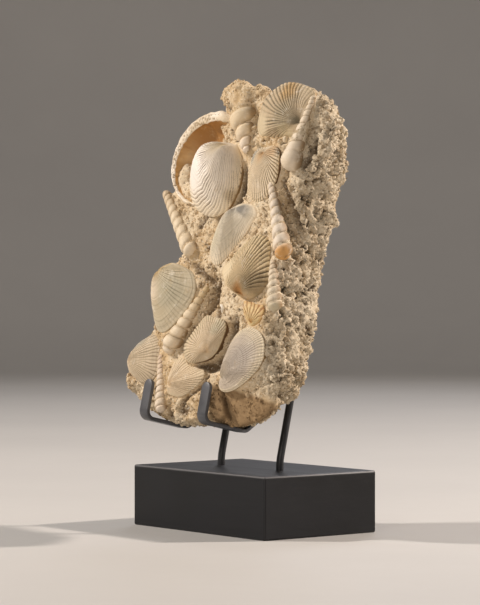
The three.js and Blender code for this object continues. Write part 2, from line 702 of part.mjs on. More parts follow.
// Each shell is cut by the room of those that lie over it, and the rock by all of them.
let rock = buildRock();
for (const { at, reach } of LUMPS) {
  rock = rock.add(solidOf(new THREE.IcosahedronGeometry(1, 1).scale(...reach).translate(...at)));
}
rock = rock.subtract(buildHollow());
shells.forEach((shell, i) => {
  rock = rock.subtract(shell.room);
  for (const over of shells.slice(i + 1)) shell.solid = shell.solid.subtract(over.room);
});
for (const { at } of hooks) rock = rock.subtract(buildHook(at, GAP));
for (const { at, radius } of PITS) {
  rock = rock.subtract(solidOf(new THREE.IcosahedronGeometry(radius, 0).translate(...at)));
}

const slab = new THREE.Group();
slab.position.set(0, SLAB.front, SLAB.level);
slab.rotation.x = THREE.MathUtils.degToRad(90 - SLAB.lean);
slab.add(meshOf('stone_matrix', geometryOf(wholePiece(rock)), 'rock'));
for (const { name, paint, solid } of shells) {
  slab.add(meshOf(name, geometryOf(wholePiece(solid)), paint));
}
for (const { name, at } of hooks) {
  slab.add(meshOf(name, geometryOf(buildHook(at).subtract(tipCorners(at))), 'steel'));
}

const stand = new THREE.Group();
stand.add(meshOf('base_block', geometryOf(buildBlock()), 'black'));
for (const [name, x] of [['rod_left', ROD.left], ['rod_right', ROD.right]]) {
  const rod = meshOf(name, buildRod(), 'steel');
  rod.position.x = x;
  stand.add(rod);
}

const group = new THREE.Group();
group.add(stand, slab);

export default group;
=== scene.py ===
# A slab of sandy rock full of fossil sea shells, on its black stand of wood and steel.
# The shells are drawn in the slab's own frame, in millimetres: u runs across to the right, v up
# the front and h out of the front. toWorld takes such points to the shared frame, in metres.
import math

import bmesh
import bpy
import numpy as np
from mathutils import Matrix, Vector


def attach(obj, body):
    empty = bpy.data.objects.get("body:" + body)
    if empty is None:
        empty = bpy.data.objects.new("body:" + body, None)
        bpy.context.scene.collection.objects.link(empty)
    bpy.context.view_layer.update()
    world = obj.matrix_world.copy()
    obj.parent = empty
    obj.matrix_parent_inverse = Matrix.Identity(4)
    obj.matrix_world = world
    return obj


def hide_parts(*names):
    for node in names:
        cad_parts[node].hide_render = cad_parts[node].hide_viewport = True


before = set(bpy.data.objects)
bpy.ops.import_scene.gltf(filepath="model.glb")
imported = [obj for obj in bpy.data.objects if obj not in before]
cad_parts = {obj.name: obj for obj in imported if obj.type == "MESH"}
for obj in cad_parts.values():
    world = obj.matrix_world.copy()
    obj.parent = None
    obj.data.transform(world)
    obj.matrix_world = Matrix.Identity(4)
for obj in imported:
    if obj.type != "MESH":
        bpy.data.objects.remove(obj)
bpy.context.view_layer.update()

mm = 0.001
slabPlace = {"lean": 12.7, "front": -74, "level": 110}
lean = math.radians(slabPlace["lean"])
slabOrigin = np.array([0, slabPlace["front"], slabPlace["level"]])
slabAxes = np.array([
    [1, 0, 0],
    [0, math.sin(lean), math.cos(lean)],
    [0, -math.cos(lean), math.sin(lean)],
])


def toWorld(points):
    return (slabOrigin + np.asarray(points, float) @ slabAxes) * mm


def toSlab(points):
    return (np.asarray(points, float) / mm - slabOrigin) @ slabAxes.T


class Wire:
    # one socket of a node tree: sums on it add their Math nodes
    def __init__(self, maker, socket):
        self.maker = maker
        self.socket = socket

    def math(self, operation, *others):
        sockets = dict(enumerate((self, *others)))
        return self.maker.add("ShaderNodeMath", sockets, operation=operation)

    def flipped(self, operation, other):
        return self.maker.add("ShaderNodeMath", {0: other, 1: self}, operation=operation)

    def __add__(self, other):
        return self.math("ADD", other)

    def __sub__(self, other):
        return self.math("SUBTRACT", other)

    def __mul__(self, other):
        return self.math("MULTIPLY", other)

    def __truediv__(self, other):
        return self.math("DIVIDE", other)

    def __pow__(self, other):
        return self.math("POWER", other)

    def __rsub__(self, other):
        return self.flipped("SUBTRACT", other)

    def __rtruediv__(self, other):
        return self.flipped("DIVIDE", other)

    __radd__ = __add__
    __rmul__ = __mul__

    def ease(self, low, high):
        # 0 below low, 1 above high and smooth between
        sockets = {"Value": self, 1: low, 2: high}
        return self.maker.add("ShaderNodeMapRange", sockets, interpolation_type="SMOOTHSTEP")


class Maker:
    # makes the nodes of one tree
    def __init__(self, tree):
        self.tree = tree

    def add(self, kind, sockets=None, output=0, **settings):
        node = self.tree.nodes.new(kind)
        for name, value in settings.items():
            setattr(node, name, value)
        for name, value in (sockets or {}).items():
            if isinstance(value, Wire):
                self.tree.links.new(value.socket, node.inputs[name])
            else:
                node.inputs[name].default_value = value
        return Wire(self, node.outputs[output])

    def mix(self, factor, a, b):
        # from a to b, each a wire or a colour's code
        a, b = (paint(side) if isinstance(side, str) else side for side in (a, b))
        return self.add("ShaderNodeMix", {0: factor, 6: a, 7: b}, 2, data_type="RGBA")

    def cover(self, colour, layers):
        # each layer is how strongly it shows and its colour
        for share, code in layers:
            colour = self.mix(share, colour, code)
        return colour

    def vector(self, operation, a, b, output=0):
        return self.add("ShaderNodeVectorMath", {0: a, 1: b}, output, operation=operation)

    def noise(self, place, scale, detail=2.0, rough=0.5, twist=0.0):
        sockets = {"Vector": place, "Scale": scale, "Detail": detail, "Roughness": rough}
        return self.add("ShaderNodeTexNoise", {**sockets, "Distortion": twist})

    def cells(self, place, scale, output="Distance"):
        return self.add("ShaderNodeTexVoronoi", {"Vector": place, "Scale": scale}, output)

    def parts(self, vector):
        return [self.add("ShaderNodeSeparateXYZ", {0: vector}, i) for i in range(3)]

    def joined(self, x, y, z):
        return self.add("ShaderNodeCombineXYZ", {0: x, 1: y, 2: z})

    def scaled(self, vector, scale):
        return self.add("ShaderNodeVectorMath", {0: vector, "Scale": scale}, operation="SCALE")

    def named(self, name):
        return self.add("GeometryNodeInputNamedAttribute", {"Name": name}, data_type="FLOAT")

    def store(self, geometry, name, value):
        sockets = {"Geometry": geometry, "Name": name, "Value": value}
        return self.add("GeometryNodeStoreNamedAttribute", sockets, domain="POINT")

    def moved(self, geometry, offset):
        sockets = {"Geometry": geometry, "Offset": offset}
        return self.add("GeometryNodeSetPosition", sockets)

    def attribute(self, name):
        return self.add("ShaderNodeAttribute", {}, "Fac", attribute_name=name)

    def uv(self, name):
        return self.add("ShaderNodeUVMap", uv_map=name)

    def objectPlace(self):
        return self.add("ShaderNodeTexCoord", {}, "Object")


def paint(code):
    channels = [int(code[i:i + 2], 16) / 255 for i in (0, 2, 4)]
    return (*[c / 12.92 if c < 0.04045 else ((c + 0.055) / 1.055) ** 2.4 for c in channels], 1)


def newMaterial(name, **constants):
    material = bpy.data.materials.new(name)
    material.use_nodes = True
    shader = material.node_tree.nodes["Principled BSDF"]
    for socket, value in constants.items():
        shader.inputs[socket.replace("_", " ")].default_value = value
    return material, Maker(material.node_tree), shader


def dress(maker, shader, colour, roughness, height, depth):
    links = maker.tree.links
    links.new(colour.socket, shader.inputs["Base Color"])
    links.new(roughness.socket, shader.inputs["Roughness"])
    bump = maker.add("ShaderNodeBump", {"Height": height, "Distance": depth, "Strength": 1.0})
    links.new(bump.socket, shader.inputs["Normal"])


def addObject(name, data):
    piece = bpy.data.objects.new(name, data)
    bpy.context.scene.collection.objects.link(piece)
    return piece


def newMesh(name, points, faces, material):
    # points are in the shared frame, in metres
    mesh = bpy.data.meshes.new(name)
    mesh.from_pydata([tuple(p) for p in points], [], faces)
    mesh.shade_smooth()
    mesh.materials.append(material)
    return addObject(name, mesh)


def solidObject(name, solid):
    # the bmesh becomes a new object's mesh
    mesh = bpy.data.meshes.new(name)
    solid.to_mesh(mesh)
    solid.free()
    return addObject(name, mesh)


def settle(piece):
    # the modifiers' result becomes the piece's plain mesh
    bpy.context.view_layer.update()
    depsgraph = bpy.context.evaluated_depsgraph_get()
    mesh = bpy.data.meshes.new_from_object(piece.evaluated_get(depsgraph))
    piece.modifiers.clear()
    piece.data = mesh
    return mesh


def vectorsOf(items, name):
    values = np.zeros(len(items) * 3, np.float32)
    items.foreach_get(name, values)
    return values.reshape(-1, 3).astype(float)


def setPlaces(mesh, places):
    mesh.vertices.foreach_set("co", np.asarray(places, np.float32).ravel())
    mesh.update()


def setAttribute(mesh, name, values):
    attribute = mesh.attributes.new(name, "FLOAT", "POINT")
    attribute.data.foreach_set("value", np.asarray(values, np.float32))


def setUv(mesh, name, values):
    layer = mesh.uv_layers.new(name=name)
    layer.data.foreach_set("uv", np.asarray(values, np.float32).ravel())


def ease(low, high, value):
    t = np.clip((value - low) / (high - low), 0, 1)
    return t * t * (3 - 2 * t)


def handOver(piece, slot, *nodes):
    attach(piece, "root")
    if nodes:
        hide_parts(*nodes)


def smoothOutline(points, steps=10):
    # a closed curve through the points, as evenly wound as they are
    knots = np.array(points, float)
    line = []
    for i in range(len(knots)):
        p = [knots[(i + k) % len(knots)] for k in (-1, 0, 1, 2)]
        t = np.cumsum([0] + [np.linalg.norm(p[k + 1] - p[k]) ** 0.5 for k in range(3)])
        between = lambda x, a, b, ta, tb: ((tb - x) * a + (x - ta) * b) / (tb - ta)
        for x in np.linspace(t[1], t[2], steps, endpoint=False):
            a = [between(x, p[k], p[k + 1], t[k], t[k + 1]) for k in range(3)]
            b = [between(x, a[k], a[k + 1], t[k], t[k + 2]) for k in range(2)]
            line.append(between(x, b[0], b[1], t[1], t[2]))
    return np.array(line)


def evenly(line, count, start):
    # points at equal steps along a closed line, from the one nearest to start
    first = int(np.argmin(np.linalg.norm(line - start, axis=1)))
    closed = np.vstack([np.roll(line, -first, axis=0), line[first]])
    lengths = np.cumsum([0, *np.linalg.norm(np.diff(closed, axis=0), axis=1)])
    wanted = np.linspace(0, lengths[-1], count, endpoint=False)
    return np.stack([np.interp(wanted, lengths, closed[:, k]) for k in range(2)], axis=1)


def signedArea(outline):
    # twice the area inside a closed outline, below 0 where it runs clockwise
    after = np.roll(outline, -1, axis=0)
    return np.sum(outline[:, 0] * after[:, 1] - after[:, 0] * outline[:, 1])


def distanceOutside(places, outline):
    # how far each place is outside a closed outline, below 0 inside it
    best = np.full(len(places), 1e9)
    inside = np.zeros(len(places), bool)
    for a, b in zip(outline, np.roll(outline, -1, axis=0)):
        edge = b - a
        away = places - a
        share = np.clip(away @ edge / (edge @ edge), 0, 1)
        best = np.minimum(best, np.linalg.norm(away - share[:, None] * edge, axis=1))
        if edge[1] != 0:
            crosses = (a[1] > places[:, 1]) != (b[1] > places[:, 1])
            inside ^= crosses & (away[:, 0] < edge[0] * away[:, 1] / edge[1])
    return np.where(inside, -best, best)


def distanceToLine(places, start, end):
    # distance from the line between two points, and the share of the way along it
    start, way = np.array(start, float), np.subtract(end, start).astype(float)
    share = np.clip((places - start) @ way / (way @ way), 0, 1)
    return np.linalg.norm(places - start - share[:, None] * way, axis=1), share


def tubeFaces(rows, count):
    # the faces between rows of points round a tube, and the number of a row's point
    at = lambda r, k: r * count + k % count
    return at, [(at(r, k), at(r, k + 1), at(r + 1, k + 1), at(r + 1, k))
                for r in range(rows - 1) for k in range(count)]


print("frame and helpers ready")

# The camera looks along the floor at the slab's right front.
view = {"azimuth": 51.87, "pitch": 0.451, "distance": 2.0457, "aside": -0.01057, "height": 0.1849,
        "focal": 2500, "imageHeight": 605, "sensor": 36}


def makeCamera():
    azimuth, pitch = math.radians(view["azimuth"]), math.radians(view["pitch"])
    right = Vector((math.cos(azimuth), math.sin(azimuth), 0))
    back = Vector((math.sin(azimuth) * math.cos(pitch), -math.cos(azimuth) * math.cos(pitch),
                   math.sin(pitch)))
    target = right * view["aside"] + Vector((0, 0, view["height"]))
    data = bpy.data.cameras.new("camera")
    data.sensor_fit = "VERTICAL"
    data.sensor_height = view["sensor"]
    data.lens = view["focal"] * view["sensor"] / view["imageHeight"]
    camera = addObject("camera", data)
    camera.location = target + back * view["distance"]
    camera.rotation_euler = (-back).to_track_quat("-Z", "Y").to_euler()
    bpy.context.scene.camera = camera


# The studio: a pale floor that curves up far away, a bright lamp from the left front, another from
# behind on the right, two wide weak ones between them and a dim sky.
studio = {"flat": 3.6, "bend": 1.6, "wall": 1.2, "turns": 96, "bendSteps": 8, "aim": (0, 0, 0.2),
          "floor": ("c4c2be", "b9b7b4"), "sky": "9a9da2", "skyPower": 0.22}
lamps = [
    {"name": "keyLight", "from": (-1.4, -1.75, 1.75), "size": 0.2, "power": 72, "colour": "fff5ec"},
    {"name": "frontFill", "from": (1.5, -2.1, 1.0), "size": 1.0, "power": 15, "colour": "fff3ea"},
    {"name": "sideLight", "from": (1.3, 2.0, 1.5), "size": 0.2, "power": 95, "colour": "fff1e6"},
    {"name": "backLight", "from": (-1.6, 1.9, 1.6), "size": 1.2, "power": 10, "colour": "f3f5ff"},
]


def makeStudio():
    floorPaint, maker, shader = newMaterial("paleFloor")
    place = maker.objectPlace()
    grey = maker.mix(maker.noise(place, 3.0, 3), *studio["floor"])
    rough = maker.noise(place, 40.0) * 0.1 + 0.6
    dress(maker, shader, grey, rough, maker.noise(place, 300.0), 0.0001)
    profile = [(r, 0.0) for r in (0.4, 1.2, 2.4, studio["flat"])]
    for step in range(1, studio["bendSteps"] + 1):
        angle = step / studio["bendSteps"] * math.pi / 2
        profile.append((studio["flat"] + studio["bend"] * math.sin(angle),
                        studio["bend"] * (1 - math.cos(angle))))
    profile.append((profile[-1][0], profile[-1][1] + studio["wall"]))
    turns = studio["turns"]
    points = [(0.0, 0.0, 0.0)]
    for radius, height in profile:
        for turn in range(turns):
            angle = turn / turns * 2 * math.pi
            points.append((radius * math.cos(angle), radius * math.sin(angle), height))
    at = lambda ring, turn: 1 + ring * turns + turn % turns
    faces = [(0, at(0, turn), at(0, turn + 1)) for turn in range(turns)]
    for ring in range(len(profile) - 1):
        for turn in range(turns):
            faces.append((at(ring, turn), at(ring + 1, turn), at(ring + 1, turn + 1),
                          at(ring, turn + 1)))
    newMesh("studioFloor", points, faces, floorPaint)

    for lamp in lamps:
        light = bpy.data.lights.new(lamp["name"], "AREA")
        light.shape = "DISK"
        light.size = lamp["size"]
        light.energy = lamp["power"]
        light.color = paint(lamp["colour"])[:3]
        holder = addObject(lamp["name"], light)
        holder.location = lamp["from"]
        aim = Vector(studio["aim"]) - Vector(lamp["from"])
        holder.rotation_euler = aim.to_track_quat("-Z", "Y").to_euler()

    world = bpy.data.worlds.new("studioSky")
    world.use_nodes = True
    world.node_tree.nodes["Background"].inputs["Color"].default_value = paint(studio["sky"])
    world.node_tree.nodes["Background"].inputs["Strength"].default_value = studio["skyPower"]
    bpy.context.scene.world = world


makeCamera()
makeStudio()
bpy.context.scene.view_settings.view_transform = "Standard"
print("camera and studio ready")

# Single valves. level is the rim's height and sunk how far the valve goes into the rock. dome and
# beakHeight are the heights of its middle and its beak, a higher peak brings the dome's top nearer
# to the beak and tilt raises one side. Ribs run from the beak to the rim: bend is how far they turn
# on their way, wave how much they sway, uneven how much weaker some are, ribStart leaves out those
# where the rim is near to the beak, fade weakens them at the rim and smooth is a bare place and its
# reach. growth is the height of the lines along the rim. Of the look, cut is how dark the grooves
# are, edge colours the side wall, and spots are patches: place, reach, colour and strength.
usualValve = {"level": 0, "sunk": 6, "peak": 0.62, "tilt": (0.0, 0.0), "bend": 0.02, "wave": 0.1,
              "uneven": 0.3, "ribStart": 0.3, "fade": 0.0, "growth": 0.3}
usualLook = {"edge": "a88b62", "spots": []}
valves = {
    "whiteCockle": {
        "node": "white_cockle", "slot": "white_shell", "beak": (14, 205), "level": 1, "sunk": 7,
        "dome": 20, "beakHeight": 6, "ribs": 32, "ribHeight": 1.2, "ribWidth": 5, "bend": 0.5,
        "peak": 0.7, "wave": 0.25, "rings": 150, "growth": 0.25, "smooth": (-14, 182, 15),
        "ribStart": 0.1, "uneven": 0.6,
        "rim": [(15, 207), (3, 209), (-14, 207), (-29, 199), (-36, 184), (-33, 167), (-22, 155),
                (-8, 149), (6, 148), (18, 153), (25, 163), (28, 174), (27, 189), (22, 200)],
        "look": {"body": "eee3d2", "beak": "e6d6b8", "rim": "e6d7bc", "groove": "6e563a",
                 "cut": 1.0, "bands": 0.12,
                 # the second spot is painted shade: it darkens the steep lower right side brown
                 "spots": [(-8, 183, 18, "f3ece4", 0.7), (25, 163, 7, "9c8259", 0.5)]},
    },
    "topRightScallop": {
        "node": "top_right_scallop", "slot": "grey_shell", "beak": (95, 221), "dome": 6,
        "beakHeight": 3, "ribs": 40, "ribHeight": 0.8, "ribWidth": 3.2, "bend": -0.02, "peak": 0.85,
        "growth": 0.25, "smooth": (38, 219, 15), "uneven": 0.45,
        "rim": [(98, 214), (85, 211), (70, 211), (55, 212), (43, 214), (38, 220), (37, 231),
                (41, 244), (53, 252), (66, 256), (78, 255), (90, 252), (100, 248), (105, 239),
                (105, 224)],
        "look": {"body": "b8a485", "beak": "6f654f", "rim": "c8b494", "groove": "47432f",
                 "cut": 0.9, "bands": 0.3,
                 "spots": [(74, 248, 10, "b88f50", 0.65), (76, 228, 14, "857a60", 0.55),
                           (44, 220, 14, "cfbf9e", 0.75), (80, 213, 9, "c9b894", 0.8)]},
    },
    "upperMiddleScallop": {
        "node": "upper_middle_scallop", "slot": "cream_shell", "beak": (59, 197), "dome": 6,
        "beakHeight": 4, "ribs": 42, "ribHeight": 1.0, "ribWidth": 3, "ribStart": 0.0,
        "tilt": (0.12, 0.0), "rings": 70,
        "rim": [(55, 204), (44, 204), (36, 200), (32, 190), (34, 178), (40, 166), (47, 160),
                (56, 159), (66, 163), (73, 170), (76, 178), (75, 190), (73, 199), (66, 204)],
        "look": {"body": "e6d4b6", "beak": "dcbd92", "rim": "e0ceae", "groove": "6d5636",
                 # its dark brown edge colour is painted shade on the broken right side wall
                 "cut": 1.0, "edge": "6d5236", "bands": 0.2,
                 "spots": [(44, 197, 8, "9fa39d", 0.7), (74, 201, 5, "868a86", 0.75),
                           (67, 198, 5, "dcb27e", 0.5)]},
    },
    "oblongClam": {
        "node": "oblong_clam", "slot": "grey_shell", "beak": (38, 152), "dome": 9, "beakHeight": 6,
        "ribs": 64, "ribHeight": 0.4, "ribWidth": 4, "growth": 0.22,
        "rim": [(42, 158), (30, 157), (19, 150), (10, 142), (6, 130), (5, 119), (10, 110),
                (18, 108), (29, 115), (38, 124), (47, 133), (53, 142), (57, 149), (51, 156)],
        "look": {"body": "dcd1bb", "beak": "b7b0a2", "rim": "ecdcc0", "groove": "77705c",
                 "cut": 0.9, "bands": 0.25,
                 "spots": [(44, 152, 7, "66686a", 0.75), (14, 130, 12, "cfc4a4", 0.5)]},
    },
    "ribbedCockle": {
        "node": "ribbed_cockle", "slot": "cream_shell", "beak": (64, 82.5), "dome": 11,
        "beakHeight": 3.5, "ribs": 40, "ribHeight": 1.5, "ribWidth": 2.4, "bend": -0.03,
        "wave": 0.06, "beads": 26, "smooth": (34, 98, 13), "uneven": 0.4,
        "rim": [(64, 80), (52, 83), (38, 90), (28, 98), (26, 106), (33, 112), (43, 120), (52, 127),
                (62, 132), (73, 130), (80, 124), (82, 115), (85, 105), (85, 94), (80, 87),
                (73, 82)],
        "look": {"body": "d9c39c", "beak": "c0965f", "rim": "d4bf98", "groove": "42361f",
                 "cut": 1.0, "bands": 0.3,
                 "spots": [(63, 86, 6, "bd8a50", 0.6), (36, 100, 14, "dccbaa", 0.7),
                           (78, 90, 11, "847152", 0.7)]},
    },
    "leftCockle": {
        "node": "left_cockle", "slot": "grey_shell", "beak": (-50, 103), "dome": 11,
        "beakHeight": 4, "ribs": 40, "ribHeight": 0.5, "ribWidth": 5, "bend": 0.05, "wave": 0.05,
        "growth": 0.4, "smooth": (-46, 74, 16), "uneven": 0.6, "fade": 0.7,
        "rim": [(-50, 106), (-45, 110), (-36, 109), (-24, 106), (-13, 101), (-7, 92), (-6, 84),
                (-11, 74), (-20, 64), (-30, 56), (-38, 52), (-46, 53), (-52, 59), (-55, 70),
                (-56, 84), (-55, 97)],
        "look": {"body": "c3b598", "beak": "c5a878", "rim": "c4b89e", "groove": "5b553f",
                 "cut": 0.75, "bands": 0.35,
                 "spots": [(-46, 104, 5, "cbb07c", 0.6), (-28, 84, 16, "b0aa94", 0.6),
                           (-50, 84, 12, "e0cdb4", 0.6)]},
    },
    "lowLeftScallop": {
        "node": "low_left_scallop", "slot": "cream_shell", "beak": (-71, 26), "level": -1,
        "dome": 7, "beakHeight": 5, "ribs": 40, "ribHeight": 0.45, "ribWidth": 5, "wave": 0.15,
        "rim": [(-52, 50), (-62, 47), (-72, 42), (-79, 33), (-81, 25), (-76, 17), (-66, 12),
                (-54, 9), (-42, 13), (-38, 20), (-40, 32), (-42, 42)],
        "look": {"body": "cdbb9e", "beak": "bfa98a", "rim": "c6b498", "groove": "675438",
                 "cut": 0.8, "bands": 0.3, "spots": [(-66, 44, 9, "9fa096", 0.5)]},
    },
    "raisedScallop": {
        "node": "raised_scallop", "slot": "cream_shell", "beak": (40, 35), "level": 6, "sunk": 12,
        "dome": 5, "beakHeight": 4, "ribs": 44, "ribHeight": 0.65, "ribWidth": 3,
        "rim": [(36, 31), (25, 28), (12, 27), (4, 32), (1, 40), (7, 49), (15, 58), (23, 65),
                (34, 64), (46, 62), (50, 57), (48, 47), (43, 36)],
        "look": {"body": "d3bfa0", "beak": "d6bd98", "rim": "cfbd9c", "groove": "6b563a",
                 # its dark brown edge colour is painted shade on the thick right and lower side
                 # wall
                 "cut": 0.75, "bands": 0.25, "edge": "6b5034",
                 "spots": [(42, 56, 7, "a8a68e", 0.5)]},
    },
    "lowMiddleScallop": {
        "node": "low_middle_scallop", "slot": "cream_shell", "beak": (-11, 8), "dome": 6,
        "beakHeight": 4, "ribs": 40, "ribHeight": 0.45, "ribWidth": 3.5, "wave": 0.15,
        "growth": 0.2, "smooth": (-16, 14, 6), "uneven": 0.45,
        "rim": [(-14, 1), (-19, 3), (-20, 9), (-19, 18), (-15, 29), (-4, 31), (3, 26), (14, 24),
                (24, 22), (26, 18), (20, 10), (12, 5), (0, 0)],
        "look": {"body": "d9c4a4", "beak": "d8bd96", "rim": "d6c4a4", "groove": "846a46",
                 "cut": 0.75, "bands": 0.2},
    },
    "lowRightScallop": {
        "node": "low_right_scallop", "slot": "grey_shell", "beak": (54, 16), "dome": 6,
        "beakHeight": 3, "ribs": 60, "ribHeight": 0.4, "ribWidth": 4, "bend": 0.05, "wave": 0.2,
        "rim": [(48, 9), (54, 6), (64, 7), (75, 12), (85, 19), (93, 27), (96, 36), (94, 46),
                (88, 53), (79, 57), (67, 57), (58, 52), (53, 44), (52, 35), (49, 22)],
        "look": {"body": "c3b5a2", "beak": "bcae98", "rim": "dacbae", "groove": "6d6154",
                 "cut": 0.75, "bands": 0.35, "spots": [(74, 32, 13, "b0a69c", 0.6)]},
    },
    "stripedFragment": {
        "node": "striped_fragment", "slot": "striped_shell", "beak": (76, 61), "sunk": 4, "dome": 2,
        "beakHeight": 1, "ribs": 13, "ribHeight": 0.6, "ribWidth": 2, "bend": 0.0, "growth": 0.2,
        "rim": [(60, 78), (68, 78), (77, 76), (86, 74), (86, 66), (80, 60), (74, 59), (66, 65),
                (61, 72)],
        "look": {"body": "d8bf8c", "beak": "c89a5c", "rim": "cfae78", "groove": "8a5326",
                 "cut": 0.9, "bands": 0.2},
    },
    "shellShard": {
        "node": "shell_shard", "slot": "white_shell", "beak": (34.2, 73), "sunk": 3, "dome": 0.8,
        "beakHeight": 0.6, "ribs": 8, "ribHeight": 0.1, "ribWidth": 2, "bend": 0.0, "growth": 0.1,
        "rim": [(30, 75.5), (33, 76), (35.5, 73), (35.5, 68.5), (33.8, 69.5), (32.5, 73)],
        "look": {"body": "efe6d6", "beak": "efe6d6", "rim": "e6dac2", "groove": "bfae8c",
                 "cut": 0.3, "bands": 0.1},
    },
}
valves = {name: {**usualValve, **valve, "look": {**usualLook, **valve["look"]}}
          for name, valve in valves.items()}
valveMesh = {"rays": 420, "rings": 44, "fewRays": 160, "fewRings": 24, "rimRings": 8, "lip": 1.4}
uvScale = 100  # the UV map "place" holds u and v in millimetres over this


def wander(count, seed):
    # a random line from 0 to 1, for growth lines and uneven ribs
    draws = np.random.default_rng(seed).normal(size=count)
    knots = np.linspace(0, 1, count)
    return lambda share: np.interp(share, knots, draws)


def shellPaint(name, look):
    material, maker, shader = newMaterial(name, Specular_IOR_Level=0.35)
    place = maker.objectPlace()
    across, along, _ = maker.parts(maker.uv("fan"))
    u, v, _ = maker.parts(maker.uv("place"))
    blur = maker.noise(place, 55.0, 3)
    fine = maker.noise(place, 420.0, 3)
    colour = maker.mix(along.ease(0.0, 0.3), look["beak"], look["body"])
    colour = maker.mix((along + (blur - 0.5) * 0.25).ease(0.72, 1.0), colour, look["rim"])
    for spotU, spotV, reach, code, strength in look["spots"]:
        middle = (spotU / uvScale, spotV / uvScale, 0)
        away = maker.vector("DISTANCE", maker.joined(u, v, 0.0), middle, 1)
        away = away + (blur - 0.5) * 0.12
        spot = 1 - away.ease(0.4 * reach / uvScale, 1.3 * reach / uvScale)
        colour = maker.mix(spot * strength, colour, code)
    bands = maker.noise(maker.joined(across * 0.6, along * 26.0, 0.0), 1.0, 3, 0.7)
    worn = maker.noise(place, 130.0, 2).ease(0.3, 0.6)
    cut = maker.attribute("ribbed") * look["cut"] * (0.6 + worn * 0.4)
    chalk = maker.noise(place, 160.0, 4, 0.65).ease(0.56, 0.7)
    dust = maker.noise(place, 90.0, 4, 0.7).ease(0.58, 0.74)
    colour = maker.cover(colour, [
        (bands.ease(0.5, 0.72) * look["bands"], look["groove"]), (cut, look["groove"]),
        (chalk * 0.3, "f1e9da"), (dust * 0.4, "b39a70"), (along.ease(1.006, 1.02), look["edge"])])
    rough = 0.5 + fine * 0.2 + cut * 0.2
    dress(maker, shader, colour, rough, fine * 0.5 + bands * 0.8 + chalk * 0.3, 0.0003)
    return material


def makeValve(name, valve, seed):
    small = len(valve["rim"]) < 9
    rays = valveMesh["fewRays" if small else "rays"]
    rings = valveMesh["fewRings"] if small else valve.get("rings", valveMesh["rings"])
    beak = np.array(valve["beak"], float)
    rim = evenly(smoothOutline(valve["rim"]), rays, beak)
    reach = np.linalg.norm(rim - beak, axis=1)
    reachShare = reach / reach.max()
    turn = np.arange(rays) / rays
    growth, sway = wander(70, seed), wander(14, seed + 50)
    strength = wander(2 * valve["ribs"], seed + 90)
    rimRings = valveMesh["rimRings"]
    shares = [*np.linspace(0.015, 0.9, rings - rimRings), *np.linspace(0.915, 1, rimRings)]
    points, fans, ribbed = [], [], []

    def ring(share, drop=0.0, inset=0.0):
        # share is the way from the beak to the rim, drop and inset lead on down the side wall
        circle = 2 * np.pi * turn
        sways = np.sin(3 * circle + 9 * share) + 0.7 * np.sin(7 * circle - 14 * share + 1)
        phase = turn + valve["bend"] * share ** 1.3 + valve["wave"] / valve["ribs"] * sways
        groove = (0.5 - 0.5 * np.cos(2 * np.pi * valve["ribs"] * phase)) ** valve["ribWidth"]
        groove = groove * (1 - valve["uneven"] * ease(-0.3, 1.0, strength(phase % 1)))
        ribStart = valve["ribStart"]
        full = ease(0.0, 0.1, share) * ease(ribStart, ribStart + 0.3, reachShare)
        full = full * (1 - valve["fade"] * ease(0.6, 1.0, share))
        crenel = 0.25 * valve["ribHeight"] * (0.5 - groove) * ease(0.8, 1, share)
        places = beak + (rim - beak) * (share + (crenel - inset) / reach)[:, None]
        if "smooth" in valve:
            *middle, bare = valve["smooth"]
            full = full * ease(0.6 * bare, 1.5 * bare, np.hypot(*(places - middle).T))
        form = valve["beakHeight"] * (1 - share) ** 2
        swell = np.sin(np.pi * share ** valve["peak"]) ** 0.85
        form = form + valve["dome"] * np.sqrt(reachShare) * swell
        form = form + (places - beak) @ np.array(valve["tilt"])
        ribs = valve["ribHeight"] * full * (0.5 - groove)
        if "beads" in valve:
            beads = np.cos(2 * np.pi * valve["beads"] * share) * (1 - groove)
            ribs = ribs + 0.12 * valve["ribHeight"] * full * beads * ease(0.4, 0.7, share)
        lines = growth(share + 0.02 * sway(turn)) - 0.4
        lines = 0.5 * valve["growth"] * lines * ease(0, 0.4, share)
        height = valve["level"] + form + (ribs + lines) * (1 if drop == 0 else 0.3) - drop
        points.extend(np.column_stack([places, height]))
        fans.extend(np.column_stack([phase, np.full(rays, share + drop / 100)]))
        ribbed.extend(full * groove)

    points.append([*beak, valve["level"] + valve["beakHeight"]])
    fans.append([0, 0])
    for share in shares:
        ring(share)
    for drop, inset in ((0.5, -0.15), (valveMesh["lip"], 0.5), (valve["sunk"], 2.5)):
        ring(1.0, drop, inset)
    points.append([*beak, valve["level"] - valve["sunk"]])
    fans.append([0, 1])
    count = rings + 3
    last = len(points) - 1
    at = lambda r, k: 1 + r * rays + k % rays
    faces, wraps = [], []
    for k in range(rays):
        faces.append((0, at(0, k), at(0, k + 1)))
        for r in range(count - 1):
            faces.append((at(r, k), at(r + 1, k), at(r + 1, k + 1), at(r, k + 1)))
        faces.append((last, at(count - 1, k + 1), at(count - 1, k)))
        wraps.extend([k == rays - 1] * (count + 1))
    if signedArea(rim) < 0:
        faces = [face[::-1] for face in faces]
    piece = newMesh(name, toWorld(points), faces, shellPaint(name + "Paint", valve["look"]))
    corners = [i for face in faces for i in face]
    fan = np.array(fans)[corners]
    wrapped = np.repeat(wraps, [len(face) for face in faces]) & (fan[:, 0] < 0.5 + valve["bend"])
    fan[wrapped, 0] += 1  # the last ray's faces end at the first ray
    setUv(piece.data, "fan", fan)
    setUv(piece.data, "place", np.array(points)[corners, :2] / uvScale)
    setAttribute(piece.data, "ribbed", [0, *ribbed, 0])
    handOver(piece, valve["slot"], valve["node"])


for index, (valveName, valveData) in enumerate(valves.items()):
    makeValve(valveName, valveData, 11 + index)
print("valves ready")

